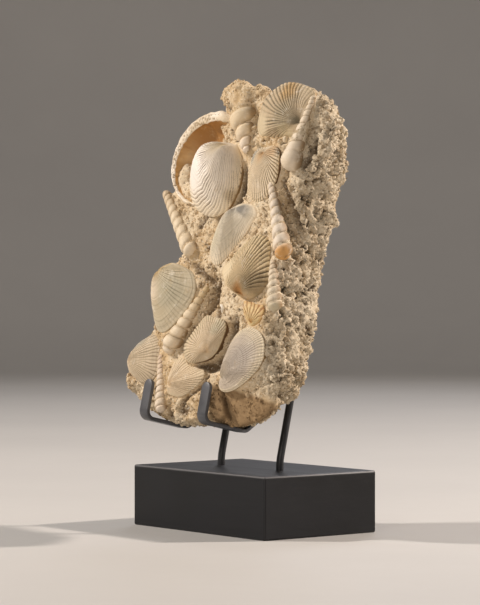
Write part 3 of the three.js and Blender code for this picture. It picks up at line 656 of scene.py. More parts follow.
# Screw shells, from the tip to the mouth end. The radii are the whorls' greatest, growth is how
# much longer the last whorl is than the first, flare bows the cone, pinch is the depth of the
# seams, body where the last whorl begins to be plain and cords are the fine spiral ridges on each
# whorl. Of the look, shade is how strongly the mouth's colour shows.
usualCoil = {"slot": "cream_shell", "flare": 1.0, "growth": 2.4, "pinch": 0.3, "body": 1.0,
             "cords": 0, "cordHeight": 0.0}
coils = {
    "topGastropod": {
        "node": "top_gastropod", "tip": (33, 199, 2), "mouth": (17, 240, 2), "tipRadius": 3,
        "radius": 12.5, "whorls": 3.2, "growth": 3.9, "pinch": 0.36,
        "look": {"tip": "ecdcc8", "body": "e2ceac", "mouth": "a8906a",
                 "seam": "7b6038", "shade": 0.3},
    },
    "rightGastropod": {
        "node": "right_gastropod", "tip": (104, 243, 1), "mouth": (92, 182, 4), "tipRadius": 2.3,
        "radius": 8.8, "flare": 1.5, "whorls": 8.5, "growth": 4.0, "pinch": 0.2, "body": 0.72,
        "cords": 5, "cordHeight": 0.006,
        "look": {"tip": "dccbb0", "body": "e2d2ba", "mouth": "ddcbae",
                 "seam": "80673f", "shade": 0.35},
    },
    "leftTurritella": {
        "node": "left_turritella", "tip": (-70, 171, 1), "mouth": (-15, 116, 2), "tipRadius": 3.4,
        "radius": 7.6, "whorls": 8.0,
        "look": {"tip": "cdb898", "body": "deccae", "mouth": "e8dac4",
                 "seam": "644c2a", "shade": 0.3},
    },
    "longTurritella": {
        "node": "long_turritella", "slot": "white_shell", "tip": (69, 175, 1),
        "mouth": (104, 112, 2), "tipRadius": 2.8, "radius": 7.6, "whorls": 8.15,
        "look": {"tip": "d8c8b2", "body": "e2d4c0", "mouth": "cf9440",
                 "seam": "644b28", "shade": 0.9},
    },
    "shortTurritella": {
        "node": "short_turritella", "slot": "white_shell", "tip": (87, 112, -0.5),
        "mouth": (100, 71, -0.5), "tipRadius": 2.4, "radius": 6.6, "whorls": 7.0, "pinch": 0.34,
        "look": {"tip": "dac9ae", "body": "ddceb4", "mouth": "b8ab86",
                 "seam": "6d5733", "shade": 0.6},
    },
    "diagonalTurritella": {
        "node": "diagonal_turritella", "tip": (13, 90, 1), "mouth": (-26, 35, 2), "tipRadius": 3,
        "radius": 8.4, "whorls": 7.6, "growth": 2.6, "pinch": 0.24, "cords": 4, "cordHeight": 0.006,
        "look": {"tip": "bfa67c", "body": "e0ceb0", "mouth": "f2e6d6",
                 "seam": "5f4828", "shade": 0.3},
    },
    "bottomTurritella": {
        "node": "bottom_turritella", "slot": "white_shell", "tip": (-36, 34, 0),
        "mouth": (-22, -14, 0), "tipRadius": 2.4, "radius": 5.4, "whorls": 9.0, "growth": 1.8,
        "pinch": 0.24,
        "look": {"tip": "d3bca2", "body": "e2d1ba", "mouth": "e6d6c2",
                 "seam": "75593a", "shade": 0.3},
    },
}
coils = {name: {**usualCoil, **coil} for name, coil in coils.items()}
coilMesh = {"around": 72, "along": 210, "caps": 4, "crest": 3.0}
coilInputs = {"Tip Radius": "tipRadius", "Radius": "radius", "Whorls": "whorls", "Growth": "growth",
              "Flare": "flare", "Pinch": "pinch", "Body": "body", "Cords": "cords",
              "Cord Height": "cordHeight"}


def newTree(name, inputs):
    tree = bpy.data.node_groups.new(name, "GeometryNodeTree")
    sockets = {"Geometry": tree.interface.new_socket(
        name="Geometry", in_out="INPUT", socket_type="NodeSocketGeometry")}
    for label, kind in inputs.items():
        sockets[label] = tree.interface.new_socket(name=label, in_out="INPUT", socket_type=kind)
    tree.interface.new_socket(name="Geometry", in_out="OUTPUT", socket_type="NodeSocketGeometry")
    maker = Maker(tree)
    entry = tree.nodes.new("NodeGroupInput")
    wires = {label: Wire(maker, entry.outputs[label]) for label in sockets}
    return tree, maker, wires, {label: item.identifier for label, item in sockets.items()}


def endTree(maker, geometry, material):
    geometry = maker.add("GeometryNodeRealizeInstances", {"Geometry": geometry})
    sockets = {"Geometry": geometry, "Material": material}
    geometry = maker.add("GeometryNodeSetMaterial", sockets)
    out = maker.tree.nodes.new("NodeGroupOutput")
    maker.tree.links.new(geometry.socket, out.inputs["Geometry"])


def useTree(piece, tree, keys, values):
    modifier = piece.modifiers.new(tree.name, "NODES")
    modifier.node_group = tree
    for label, value in values.items():
        modifier[keys[label]] = value
    return settle(piece)


def makeCoilTree():
    kinds = {label: "NodeSocketFloat" for label in ("Length", *coilInputs)}
    tree, maker, wires, keys = newTree("coilShell", {**kinds, "Material": "NodeSocketMaterial"})
    sockets = {"Vertices": coilMesh["around"], "Side Segments": coilMesh["along"],
               "Fill Segments": coilMesh["caps"], "Radius": 1.0, "Depth": 1.0}
    tube = maker.add("GeometryNodeMeshCylinder", sockets, fill_type="TRIANGLE_FAN")
    x, y, z = maker.parts(maker.add("GeometryNodeInputPosition"))
    t = z + 0.5
    turn = y.math("ARCTAN2", x) / (2 * math.pi)
    growth = wires["Growth"]
    share = (t * (growth - 1.0) + 1.0).math("LOGARITHM", growth)
    whorl = (share * (wires["Whorls"] + 1.0) - turn + 2.0).math("FRACT")
    seam = (whorl * 2.0 - 1.0).math("ABSOLUTE")
    seam = seam * (1 - t.ease(wires["Body"], wires["Body"] + 0.07))
    rounding = (wires["Radius"] / wires["Length"]).math("MINIMUM", 0.4)
    widest = 1 - rounding
    cone = (t / widest).math("MINIMUM", 1.0) ** wires["Flare"]
    cone = cone * (wires["Radius"] - wires["Tip Radius"]) + wires["Tip Radius"]
    past = ((t - widest) / rounding).math("MAXIMUM", 0.0)
    before = (1 - t * wires["Length"] / wires["Tip Radius"]).math("MAXIMUM", 0.0)
    ends = (1 - past * past).math("MAXIMUM", 0.0).math("SQRT")
    ends = ends * (1 - before * before).math("MAXIMUM", 0.0).math("SQRT")
    cord = (whorl * wires["Cords"] * (2 * math.pi)).math("COSINE") * (1 - seam ** 4.0)
    swell = 1 - wires["Pinch"] * (seam ** coilMesh["crest"]) + cord * wires["Cord Height"]
    radius = cone * ends * swell
    place = maker.joined(x * radius, y * radius, t * wires["Length"])
    marked = maker.store(maker.store(tube, "seam", seam), "along", t)
    shaped = maker.add("GeometryNodeSetPosition", {"Geometry": marked, "Position": place})
    shaped = maker.add("GeometryNodeSetShadeSmooth", {"Geometry": shaped})
    endTree(maker, shaped, wires["Material"])
    return tree, keys


def coilPaint(name, look):
    material, maker, shader = newMaterial(name, Coat_Weight=0.03, Coat_Roughness=0.5)
    place = maker.objectPlace()
    seam, along = maker.attribute("seam"), maker.attribute("along")
    blur = maker.noise(place, 70.0, 3)
    fine = maker.noise(place, 500.0, 3)
    colour = maker.mix(along.ease(0.05, 0.5), look["tip"], look["body"])
    mouth = (along + (blur - 0.5) * 0.1).ease(0.8, 0.95) * look["shade"]
    dark = (seam ** 7.0) * (0.45 + blur * 0.7)
    # painted shade: the side away from the key light and down towards the rock turns brown
    # (84653a), together with some real stain where the shell meets the rock
    shadeAndStain = (maker.attribute("low") + (blur - 0.5) * 0.5).ease(0.0, 0.8)  # on the shaded side
    lines = maker.noise(maker.joined(seam * 14.0, along * 2.0, 0.0), 1.0, 2)
    stain = maker.noise(place, 120.0, 4, 0.7).ease(0.55, 0.72)
    chalk = maker.noise(place, 240.0, 3, 0.6).ease(0.55, 0.7)
    colour = maker.cover(colour, [
        (mouth, look["mouth"]), (shadeAndStain * 0.8, "84653a"), (dark, look["seam"]),
        (lines.ease(0.5, 0.7) * 0.25, "bfa77c"), (stain * 0.35, "b99f72"), (chalk * 0.3, "f4ede0")])
    dress(maker, shader, colour, 0.52 + fine * 0.2 + dark * 0.2, fine * 0.6 + lines * 0.5, 0.0003)
    return material


def coilWidth(coil, share):
    grown = np.minimum(share * 1.15, 1) ** coil["flare"]
    return coil["tipRadius"] + (coil["radius"] - coil["tipRadius"]) * grown


coilTree, coilKeys = makeCoilTree()


def makeCoil(name, coil):
    tip, mouth = Vector(coil["tip"]), Vector(coil["mouth"])
    way = (mouth - tip).normalized()
    piece = newMesh(name, [], [], coilPaint(name + "Paint", coil["look"]))
    values = {label: float(coil[key]) for label, key in coilInputs.items()}
    mesh = useTree(piece, coilTree, coilKeys, {
        **values, "Length": (mouth - tip).length, "Material": piece.data.materials[0]})
    turned = Vector((0, 0, 1)).rotation_difference(way).to_matrix()
    places = vectorsOf(mesh.vertices, "co") @ np.array(turned).T + np.array(tip)
    share = distanceToLine(places, coil["tip"], coil["mouth"])[1]
    offset = places - np.array(tip) - share[:, None] * np.array(mouth - tip)
    right = np.cross(np.array(way), (0, 0, 1.0))
    right = right * np.sign(right[0])
    # low is a painted shade mask: how far a point lies to the right of the axis and down towards
    # the rock, the side the key light leaves dark
    shaded = (0.8 * offset @ right - 0.5 * offset[:, 2]) / coilWidth(coil, share)
    setAttribute(mesh, "low", ease(0.25, 1.1, shaded))
    setPlaces(mesh, toWorld(places))
    handOver(piece, coil["slot"], coil["node"])


for coilName, coilData in coils.items():
    makeCoil(coilName, coilData)
print("screw shells ready")

# The large open valve, seen from inside: half an egg. band is the width of its rim at angles in
# degrees, crumble how uneven the band's inner edge is and dive where its right end goes down into
# the rock. Pits are small holes in the band.
openValve = {
    "centre": (-20, 197), "reach": (48, 40), "level": 2, "depth": 25, "floor": 20, "rays": 480,
    "band": ((20, 6), (70, 8), (105, 9), (140, 8.5), (175, 7), (210, 4), (250, 2.6), (300, 4)),
    "crumble": 0.45, "dive": (-12, 14, 16), "pits": 170, "pitReach": 0.75, "pitDepth": 1.2,
    "seed": 5,
}


def openValvePaint():
    material, maker, shader = newMaterial("openValvePaint", Coat_Weight=0.1, Coat_Roughness=0.3)
    place = maker.objectPlace()
    inside, pit = maker.attribute("inside"), maker.attribute("pit")
    u, v, _ = maker.parts(maker.uv("place"))
    blur = maker.noise(place, 45.0, 3)
    fine = maker.noise(place, 400.0, 3)
    colour = maker.mix(blur.ease(0.35, 0.65), "dccbae", "efe4d2")
    deep = maker.mix(blur.ease(0.35, 0.62), "d9b987", "c49a62")
    # darker brown towards the top of the bowl (a8783c): partly the valve's own orange-brown, partly
    # painted shade under the rim
    high = maker.vector("DISTANCE", maker.joined(u, v, 0.0), (-0.30, 2.14, 0), 1).ease(0.12, 0.38)
    deep = maker.mix(high, "a8783c", deep)
    streak = maker.noise(maker.vector("MULTIPLY", place, (30.0, 30.0, 160.0)), 1.0, 3)
    deep = maker.mix(streak.ease(0.5, 0.75) * 0.4, deep, "c39a63")
    crust = maker.noise(place, 230.0, 4, 0.7).ease(0.5, 0.66) * (1 - inside.ease(0.2, 0.6))
    dust = maker.noise(place, 110.0, 4, 0.7).ease(0.56, 0.7)
    colour = maker.cover(colour, [
        (inside.ease(0.35, 0.75), deep), (crust * 0.5, "b89c74"),
        (pit.ease(0.1, 0.8) * 0.8, "84683f"), (dust * 0.35, "cdb489")])
    dress(maker, shader, colour, 0.5 + fine * 0.25, fine * 0.6 + dust * 0.4, 0.0003)
    return material


def makeOpenValve():
    rng = np.random.default_rng(openValve["seed"])
    centre, reach = np.array(openValve["centre"], float), np.array(openValve["reach"], float)
    rays = openValve["rays"]
    angles = np.arange(rays) / rays * 2 * np.pi
    degrees = np.degrees(angles)
    spots, widths = zip(*openValve["band"])
    edge, inner = (
        np.interp(degrees, np.linspace(0, 360, count), rng.normal(size=count), period=360)
        for count in (60, 110))
    edge = edge * 0.5
    band = np.interp(degrees, spots, widths, period=360) + inner * openValve["crumble"]
    ways = np.column_stack([np.cos(angles), np.sin(angles)])
    level, depth = openValve["level"], openValve["depth"]
    rows, insides = [], []

    def row(inset, height, share):
        places = centre + ways * (reach - np.expand_dims(inset, 1))
        rows.append(np.column_stack([places, np.broadcast_to(height, rays)]))
        insides.append(share)

    for slope in np.radians(np.linspace(86, 4, 16)):  # the outside
        inset = (1 - math.cos(slope)) * reach.min() - edge * math.cos(slope)
        row(inset, level - 1 - depth * math.sin(slope), 0)
    for step in np.linspace(0, 1, 9):  # the band
        bulge = math.sin(math.pi * step)
        row(band * step - edge * (1 - step), level - 1 + 1.6 * bulge + 0.4 * step, 0)
    for slope in np.radians(np.linspace(4, 86, 30)):  # the bowl
        spread = (reach.min() - band) * (1 - math.cos(slope))
        row(band + spread, level - openValve["floor"] * math.sin(slope), 1)
    points = np.vstack(rows)
    inside = np.repeat(insides, rays).astype(float)
    onBand = np.repeat([16 < i < 25 for i in range(len(rows))], rays)
    pit = np.zeros(len(points))
    for _ in range(openValve["pits"]):
        patches = [rng.normal(108, 12), rng.normal(176, 16), rng.uniform(90, 230)]
        degree = rng.choice(patches, p=[0.4, 0.4, 0.2])
        angle, share = math.radians(degree), rng.uniform(0.25, 0.9)
        width = float(np.interp(degree, spots, widths, period=360))
        spot = centre + np.array([math.cos(angle), math.sin(angle)]) * (reach - width * share)
        size = openValve["pitReach"] * rng.uniform(0.5, 1.3)
        away = np.hypot(*(points[:, :2] - spot).T) / size
        pit = np.maximum(pit, np.exp(-away ** 2) * onBand)
    points[:, 2] -= pit * openValve["pitDepth"]
    start, end, drop = openValve["dive"]
    points[:, 2] -= ease(start, end, points[:, 0]) * drop * (points[:, 2] > level - 14)
    at, faces = tubeFaces(len(rows), rays)
    caps = len(points)
    middles = [[*centre, level - 1 - depth], [*centre, level - openValve["floor"]]]
    points = np.vstack([points, middles])
    faces += [(caps, at(0, k + 1), at(0, k)) for k in range(rays)]
    faces += [(caps + 1, at(len(rows) - 1, k), at(len(rows) - 1, k + 1)) for k in range(rays)]
    piece = newMesh("openValve", toWorld(points), faces, openValvePaint())
    setAttribute(piece.data, "inside", [*inside, 0, 1])
    setAttribute(piece.data, "pit", [*pit, 0, 0])
    setUv(piece.data, "place", points[[i for face in faces for i in face], :2] / uvScale)
    handOver(piece, "white_shell", "hollow_clam_valve")


makeOpenValve()
print("open valve ready")

# The rock: the fixed solid with its shell pockets filled, skinned twice and then given its crust.
# The skins are voxel sizes. valveFill is how far below a valve's rim its pocket is filled and
# coilFill the share of a screw shell's width that it covers. Lumps are added before the skin: place
# and reach along u, v and h.
rock = {
    "firstSkin": 2.2, "skin": 1.38, "rounding": 4, "valveFill": 0.5, "coilFill": 0.86,
    "lumps": [((-57, 180, -9), (9, 18, 8)), ((-42, 168, -8), (17, 12, 8)),
              ((6, 222, -6), (10, 12, 7)), ((99, 178, -8), (5, 4, 5)), ((106, 183, -8), (5, 4, 5)),
              ((112, 190, -8), (4.5, 5, 5)), ((116, 199, -9), (4, 6, 5)),
              ((118, 208, -10), (4, 7, 5)), ((120, 217, -11), (4, 7, 5)),
              ((105, 155, -36), (5, 5, 5)), ((48, 208, -2), (14, 5, 4)),
              ((74, 206, -2), (14, 5, 4))],
}
# Crevices of the front: a line through places of u and v, its width and its depth.
crevices = [
    ([(-25, 114), (7, 97), (23, 86)], 3.0, 3.5),
    ([(21, 93), (21, 78), (7, 58), (-10, 42)], 4.5, 8.0),
    ([(53, 62), (53, 45), (46, 33), (34, 26), (16, 23)], 4.0, 6.0),
    ([(80, 200), (82, 180)], 2.6, 6.0), ([(79, 176), (91, 154), (103, 136), (111, 116)], 2.4, 5.0),
    ([(30, 184), (29, 163), (9, 147)], 4.5, 8.0), ([(108, 206), (105, 196), (100, 187)], 2.6, 5.0),
    ([(28, 74), (34, 62)], 2.5, 2.0), ([(-15, 50), (-35, 47)], 2.5, 2.5),
    ([(2, -3), (14, 3), (23, 9), (29, 18)], 1.5, 3.0), ([(-20, -13), (-16, -13)], 4.5, 4.0),
    ([(-1, -11), (3, -11)], 4.5, 4.0), ([(46, 6), (50, -12)], 3.0, 2.5),
    ([(30, 150), (10, 165), (-15, 140)], 3.0, 1.5),
]
# The crust, each form with its depth and its size in millimetres.
crust = {
    "Swell": 5.0, "Swell Size": 17.0, "Knobs": 5.4, "Knob Size": 7.0, "Pits": 10.5, "Pit Size": 7.5,
    "Pores": 4.4, "Pore Size": 3.4, "Grain": 5.0, "Grain Size": 3.4, "Patch Size": 24.0,
}


def makeCrustTree():
    kinds = {label: "NodeSocketFloat" for label in crust}
    tree, maker, wires, keys = newTree("rockCrust", {**kinds, "Material": "NodeSocketMaterial"})
    rough, calm = maker.named("rough"), maker.named("calm")
    place = maker.scaled(maker.add("GeometryNodeInputPosition"), 1000.0)
    swirl = maker.add("ShaderNodeTexNoise", {"Vector": place, "Scale": 0.16, "Detail": 3.0}, 1)
    bent = maker.vector("ADD", place, maker.scaled(swirl, 12.0))
    swell = maker.noise(place, 1 / wires["Swell Size"], 2) - 0.5
    grain = maker.noise(place, 1 / wires["Grain Size"], 3, 0.6) - 0.5
    craggy = maker.noise(place, 1 / wires["Patch Size"], 1).ease(0.42, 0.58)
    knobs = 1 - maker.cells(bent, 1 / wires["Knob Size"]).ease(0.1, 0.75)
    folds = (maker.noise(bent, 0.9 / wires["Knob Size"], 2) - 0.5).math("ABSOLUTE")
    crests = 1 - (folds * 6.0).ease(0.0, 1.0)
    picked = maker.parts(maker.cells(bent, 1 / wires["Pit Size"], "Color"))[0].ease(0.35, 0.7)
    pits = (1 - maker.cells(bent, 1 / wires["Pit Size"]).ease(0.16, 0.46)) * picked
    pored = maker.parts(maker.cells(bent, 1 / wires["Pore Size"], "Color"))[1].ease(0.55, 0.75)
    pores = (1 - maker.cells(bent, 1 / wires["Pore Size"]).ease(0.1, 0.55)) * pored
    height = swell * wires["Swell"] * (rough * 0.8 + 0.4)
    knobs = knobs * 0.5 + crests * 0.6
    height = height + (knobs - 0.5) * wires["Knobs"] * rough * (craggy * 0.8 + 0.4)
    height = height - pits * wires["Pits"] * rough
    height = height - pores * wires["Pores"] * (rough * 0.6 + 0.4) * (craggy * 0.6 + 0.5)
    height = height + grain * wires["Grain"] * (rough * 0.7 + 0.5)
    height = height * (1 - calm * 0.8) - calm * 0.2
    offset = maker.scaled(maker.add("GeometryNodeInputNormal"), height * 0.001)
    shaped = maker.moved(wires["Geometry"], offset)
    # hollow is mostly painted shade: the dips between knobs, the pits, the pores and the crevices
    # are darkened, with some of the rock's own darker brown
    between = (1 - knobs).ease(0.4, 0.9) * rough * 0.4
    hollow = (pits + pores * 0.7 + between) * (1 - calm) + maker.named("cut") * 0.9
    shaped = maker.store(shaped, "hollow", hollow)
    endTree(maker, shaped, wires["Material"])
    return tree, keys


def rockPaint():
    material, maker, shader = newMaterial("sandyRock", Specular_IOR_Level=0.25)
    place = maker.objectPlace()
    hollow, rough, brown = (maker.attribute(label) for label in ("hollow", "rough", "brown"))
    wide = maker.noise(place, 22.0, 4)
    blur = maker.noise(place, 90.0, 4, 0.65)
    fine = maker.noise(place, 620.0, 4, 0.7)
    grains = maker.cells(place, 900.0, "Color")
    sand = maker.mix(wide.ease(0.36, 0.64), "ccb28b", "dac8aa")
    side = maker.mix(wide.ease(0.36, 0.64), "c0af93", "d8c9af")
    # the foot's brown is partly the rock's own colour and partly painted shade on the face that
    # turns down away from the lamps
    brownFootAndShade = maker.mix(blur.ease(0.35, 0.65), "8a7151", "a08562")
    chosen = maker.parts(maker.cells(place, 330.0, "Color"))[0].ease(0.72, 0.78)
    holes = (1 - maker.cells(place, 330.0).ease(0.13, 0.28)) * chosen
    speck = maker.parts(grains)[0] * (1 - brown * 0.5) + brown * 0.25
    colour = maker.cover(sand, [
        (rough.ease(0.3, 0.9), side), (blur.ease(0.5, 0.7) * 0.55, "ded0b6"),
        ((1 - blur).ease(0.52, 0.68) * 0.5, "9b7d52"),
        ((brown + (wide - 0.5) * 0.8).ease(0.35, 0.75), brownFootAndShade),
        # painted shade, with some of the rock's own darker brown, in the hollows (554028)
        (hollow.ease(0.05, 0.9) * 0.85, "554028"), (holes * 0.55, "5b462c"),
        (speck.ease(0.8, 0.95) * 0.4, "efe6d2"), ((1 - speck).ease(0.86, 0.97) * 0.5, "7b6443")])
    dress(maker, shader, colour, fine * 0.15 + 0.82, fine + blur * 1.5 - holes * 1.5, 0.0006)
    return material


def filling(solid, outline, low, high):
    # a prism over an outline of the slab's front
    rings = [[solid.verts.new(p) for p in toWorld([(*q, h) for q in outline])] for h in (low, high)]
    solid.faces.new(rings[0][::-1])
    solid.faces.new(rings[1])
    for k in range(len(outline)):
        n = (k + 1) % len(outline)
        solid.faces.new((rings[0][k], rings[0][n], rings[1][n], rings[1][k]))


def rockSkin():
    solid = bmesh.new()
    solid.from_mesh(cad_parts["stone_matrix"].data)
    bmesh.ops.remove_doubles(solid, verts=solid.verts, dist=1e-6)
    for valve in valves.values():
        outline = evenly(smoothOutline(valve["rim"]), 60, np.array(valve["beak"], float))
        outline = outline if signedArea(outline) > 0 else outline[::-1]
        low, high = valve["level"] - valve["sunk"] - 3, valve["level"] - rock["valveFill"]
        filling(solid, outline, low, high)
    for coil in coils.values():
        tip, mouth = np.array(coil["tip"], float), np.array(coil["mouth"], float)
        along = (mouth - tip) / np.linalg.norm(mouth - tip)
        aside = np.cross(along, (0, 0, 1.0))
        over = np.cross(aside, along)
        rings = []
        for share in (0, 0.87, 1):
            reach = float(coilWidth(coil, share)) * (0.5 if share == 1 else 1)
            ring = [tip + (mouth - tip) * share + reach * (math.cos(a) * aside + math.sin(a) * over)
                    for a in np.linspace(0, 2 * math.pi, 16, endpoint=False)]
            rings.append([solid.verts.new(p) for p in toWorld(ring)])
        solid.faces.new(rings[0])
        solid.faces.new(rings[-1][::-1])
        for low, high in zip(rings, rings[1:]):
            for k in range(16):
                n = (k + 1) % 16
                solid.faces.new((low[k], high[k], high[n], low[n]))
    for at, reach in rock["lumps"]:
        made = bmesh.ops.create_icosphere(solid, subdivisions=3, radius=1)
        for vert in made["verts"]:
            vert.co = toWorld(np.array(at) + np.array(vert.co) * reach)
    bmesh.ops.recalc_face_normals(solid, faces=solid.faces)
    piece = solidObject("rock", solid)
    first = piece.modifiers.new("firstSkin", "REMESH")
    first.mode, first.voxel_size = "VOXEL", rock["firstSkin"] * mm
    smooth = piece.modifiers.new("rounding", "SMOOTH")
    smooth.factor, smooth.iterations = 0.5, rock["rounding"]
    second = piece.modifiers.new("skin", "REMESH")
    second.mode, second.voxel_size = "VOXEL", rock["skin"] * mm
    settle(piece)
    return piece


def makeRock():
    piece = rockSkin()
    places = toSlab(vectorsOf(piece.data.vertices, "co"))
    normals = vectorsOf(piece.data.vertex_normals, "vector") @ slabAxes.T
    front = ease(0.2, 0.7, normals[:, 2])
    near = np.full(len(places), 99.0)  # how far the nearest shell is
    for valve in valves.values():
        outline = evenly(smoothOutline(valve["rim"]), 120, np.array(valve["beak"], float))
        outside = distanceOutside(places[:, :2], outline)
        reachable = places[:, 2] > valve["level"] - valve["sunk"] - 4
        near = np.where(reachable, np.minimum(near, outside), near)
        low = valve["level"] - 0.7 - 2.2 * ease(0.4, 3, -outside)
        sink = reachable & (outside < -0.4) & (places[:, 2] > low)
        places[sink, 2] = low[sink]
    for coil in coils.values():
        away, share = distanceToLine(places, coil["tip"], coil["mouth"])
        width = coilWidth(coil, share)
        near = np.minimum(near, away - width)
        filled = rock["coilFill"] * width
        sink = (away < width + 0.4) & (away > filled)
        spot = np.array(coil["tip"]) + share[:, None] * np.subtract(coil["mouth"], coil["tip"])
        shrunk = spot + (places - spot) * (filled / np.maximum(away, 0.1))[:, None]
        places[sink] = shrunk[sink]
    hidden = np.zeros(len(places))  # how deep in a crevice
    for line, width, depth in crevices:
        away = np.full(len(places), 99.0)
        for start, end in zip(line, line[1:]):
            away = np.minimum(away, distanceToLine(places[:, :2], start, end)[0])
        onFront = places[:, 2] > -14
        cut = np.exp(-(away / width) ** 2) * onFront * ease(-1.5, 1.5, near)
        places[:, 2] -= depth * cut
        hidden = np.maximum(hidden, cut)
    setPlaces(piece.data, toWorld(places))
    u, v, h = places.T
    right = ease(78, 100, u + 0.15 * (h + 6)) + ease(-14, -40, h) * 0.8  # and the back
    rough = np.clip(0.34 + right * 0.75 - 0.15 * front, 0.25, 1)
    brown = ease(16, 2, v + 0.15 * (u - 60)) * ease(20, 40, u) * ease(-50, -10, h)  # the foot
    rough = rough * (1 - 0.75 * brown)
    bowl = ease(24, 14, np.hypot(u + 56, v - 182))  # beside the open valve
    top = ease(236, 246, v) * ease(40, 20, u)
    calm = [ease(2.2, 0.2, near), 0.6 * brown, 0.5 * top, 0.7 * bowl, 0.7 * hidden]
    marks = {"rough": rough, "calm": np.maximum.reduce(calm), "brown": brown, "cut": hidden}
    for label, values in marks.items():
        setAttribute(piece.data, label, values)
    tree, keys = makeCrustTree()
    mesh = useTree(piece, tree, keys, {**crust, "Material": rockPaint()})
    mesh.shade_smooth()
    handOver(piece, "rock", "stone_matrix")
    print("rock has", len(mesh.polygons), "faces")
    return piece


rockPiece = makeRock()

# Loose grains and crumbs stuck to the rock: how many to a square metre and their sizes in
# millimetres.
crumbs = {
    "rockGrains": {"Density": 52000.0, "Smallest": 0.5, "Largest": 1.6, "Detail": 1, "Seed": 4},
    "rockGravel": {"Density": 52000.0, "Smallest": 0.6, "Largest": 2.0, "Detail": 1, "Seed": 6},
    "rockCrumbs": {"Density": 12000.0, "Smallest": 1.2, "Largest": 3.2, "Detail": 2, "Seed": 5},
}


def makeCrumbTree():
    kinds = {"Density": "Float", "Smallest": "Float", "Largest": "Float", "Detail": "Int",
             "Seed": "Int", "Material": "Material"}
    kinds = {label: "NodeSocket" + kind for label, kind in kinds.items()}
    tree, maker, wires, keys = newTree("crumbScatter", kinds)
    bare = 1 - maker.named("calm")
    sockets = {"Mesh": wires["Geometry"], "Density": wires["Density"] * bare, "Seed": wires["Seed"]}
    spots = maker.add("GeometryNodeDistributePointsOnFaces", sockets, distribute_method="RANDOM")
    sockets = {"Radius": mm, "Subdivisions": wires["Detail"]}
    lump = maker.add("GeometryNodeMeshIcoSphere", sockets)
    size = maker.add("FunctionNodeRandomValue", {2: 0.0, 3: 1.0, "Seed": wires["Seed"]}, 1,
                     data_type="FLOAT")
    size = (size ** 3.0) * (wires["Largest"] - wires["Smallest"]) + wires["Smallest"]
    squash, spin = (
        maker.add("FunctionNodeRandomValue", {0: low, 1: high, "Seed": wires["Seed"]},
                  data_type="FLOAT_VECTOR")
        for low, high in (((0.6, 0.6, 0.5), (1.3, 1.1, 0.9)), ((0, 0, 0), (6.28, 6.28, 6.28))))
    sockets = {"Points": spots, "Instance": lump, "Rotation": spin,
               "Scale": maker.scaled(squash, size)}
    placed = maker.add("GeometryNodeInstanceOnPoints", sockets)
    loose = maker.add("GeometryNodeRealizeInstances", {"Geometry": placed})
    place = maker.scaled(maker.add("GeometryNodeInputPosition"), 1000.0)
    rough = maker.noise(place, 0.9, 2) - 0.5
    offset = maker.scaled(maker.add("GeometryNodeInputNormal"), rough * 0.0011)
    endTree(maker, maker.moved(loose, offset), wires["Material"])
    return tree, keys


crumbTree, crumbKeys = makeCrumbTree()
for crumbName, crumb in crumbs.items():
    piece = addObject(crumbName, rockPiece.data.copy())
    mesh = useTree(piece, crumbTree, crumbKeys, {**crumb, "Material": rockPiece.data.materials[0]})
    handOver(piece, "rock")
    print(crumbName, "have", len(mesh.polygons), "faces")

# The stand: a block of black painted wood, two steel rods up the back and two flat hooks.
block = {"width": 174, "depth": 115, "height": 50, "corner": 1.6}
rod = {"radius": 3, "at": (-37, 40), "h": -79.8, "bend": -36, "top": 92, "foot": 30.3, "sides": 28}
hook = {"width": 10.6, "thickness": 3, "edge": 0.5, "tip": 12, "front": 5.6, "under": -19.4,
        "turn": 6.5, "back": -34, "rise": 45}


def blackWood():
    material, maker, shader = newMaterial("blackWood", Specular_IOR_Level=0.35, Coat_Roughness=0.4)
    place = maker.objectPlace()
    grain = maker.noise(maker.vector("MULTIPLY", place, (5.0, 60.0, 320.0)), 1.0, 4, 0.6, 0.6)
    cloud = maker.noise(place, 14.0, 3)
    fine = maker.noise(place, 900.0, 2)
    x, y, z = maker.parts(place)
    gaps = [block[side] * mm / 2 - axis.math("ABSOLUTE")
            for axis, side in ((x, "width"), (y, "depth"))]
    lid = block["height"] * mm - z
    sideEdge = gaps[0].math("MAXIMUM", gaps[1])
    topEdge = lid.math("MAXIMUM", gaps[0].math("MINIMUM", gaps[1]))
    # painted highlight: the top edges, and faintly the upright ones, are painted grey (6a6a6c) for
    # the light caught on their bevels
    edgeHighlight = 1 - (topEdge + (cloud - 0.5) * 0.0012).ease(0.0004, 0.0022)
    sideEdgeHighlight = (1 - sideEdge.ease(0.0003, 0.0014)) * 0.08
    colour = maker.mix(cloud.ease(0.35, 0.65), "08090b", "0e0f13")
    speck = maker.noise(place, 700.0, 1).ease(0.78, 0.84) * z.ease(0.0485, 0.0499)  # on top
    colour = maker.cover(colour, [(grain.ease(0.45, 0.7) * 0.4, "16171a"),
                                  (edgeHighlight * 0.8 + sideEdgeHighlight, "6a6a6c"), (speck, "b8b2a6")])
    dress(maker, shader, colour, 0.34 + grain * 0.14 + cloud * 0.08, grain + fine * 0.3, 0.00008)
    return material


def blackSteel(name, dark, light):
    material, maker, shader = newMaterial(name, Specular_IOR_Level=0.5)
    place = maker.objectPlace()
    cloud = maker.noise(place, 60.0, 3)
    fine = maker.noise(place, 1400.0, 2)
    colour = maker.mix(cloud.ease(0.35, 0.65), dark, light)
    dust = maker.noise(place, 260.0, 4, 0.7).ease(0.62, 0.75)
    colour = maker.mix(dust * 0.25, colour, "8a8274")
    dress(maker, shader, colour, 0.33 + cloud * 0.12 + dust * 0.2, fine, 0.00005)
    return material


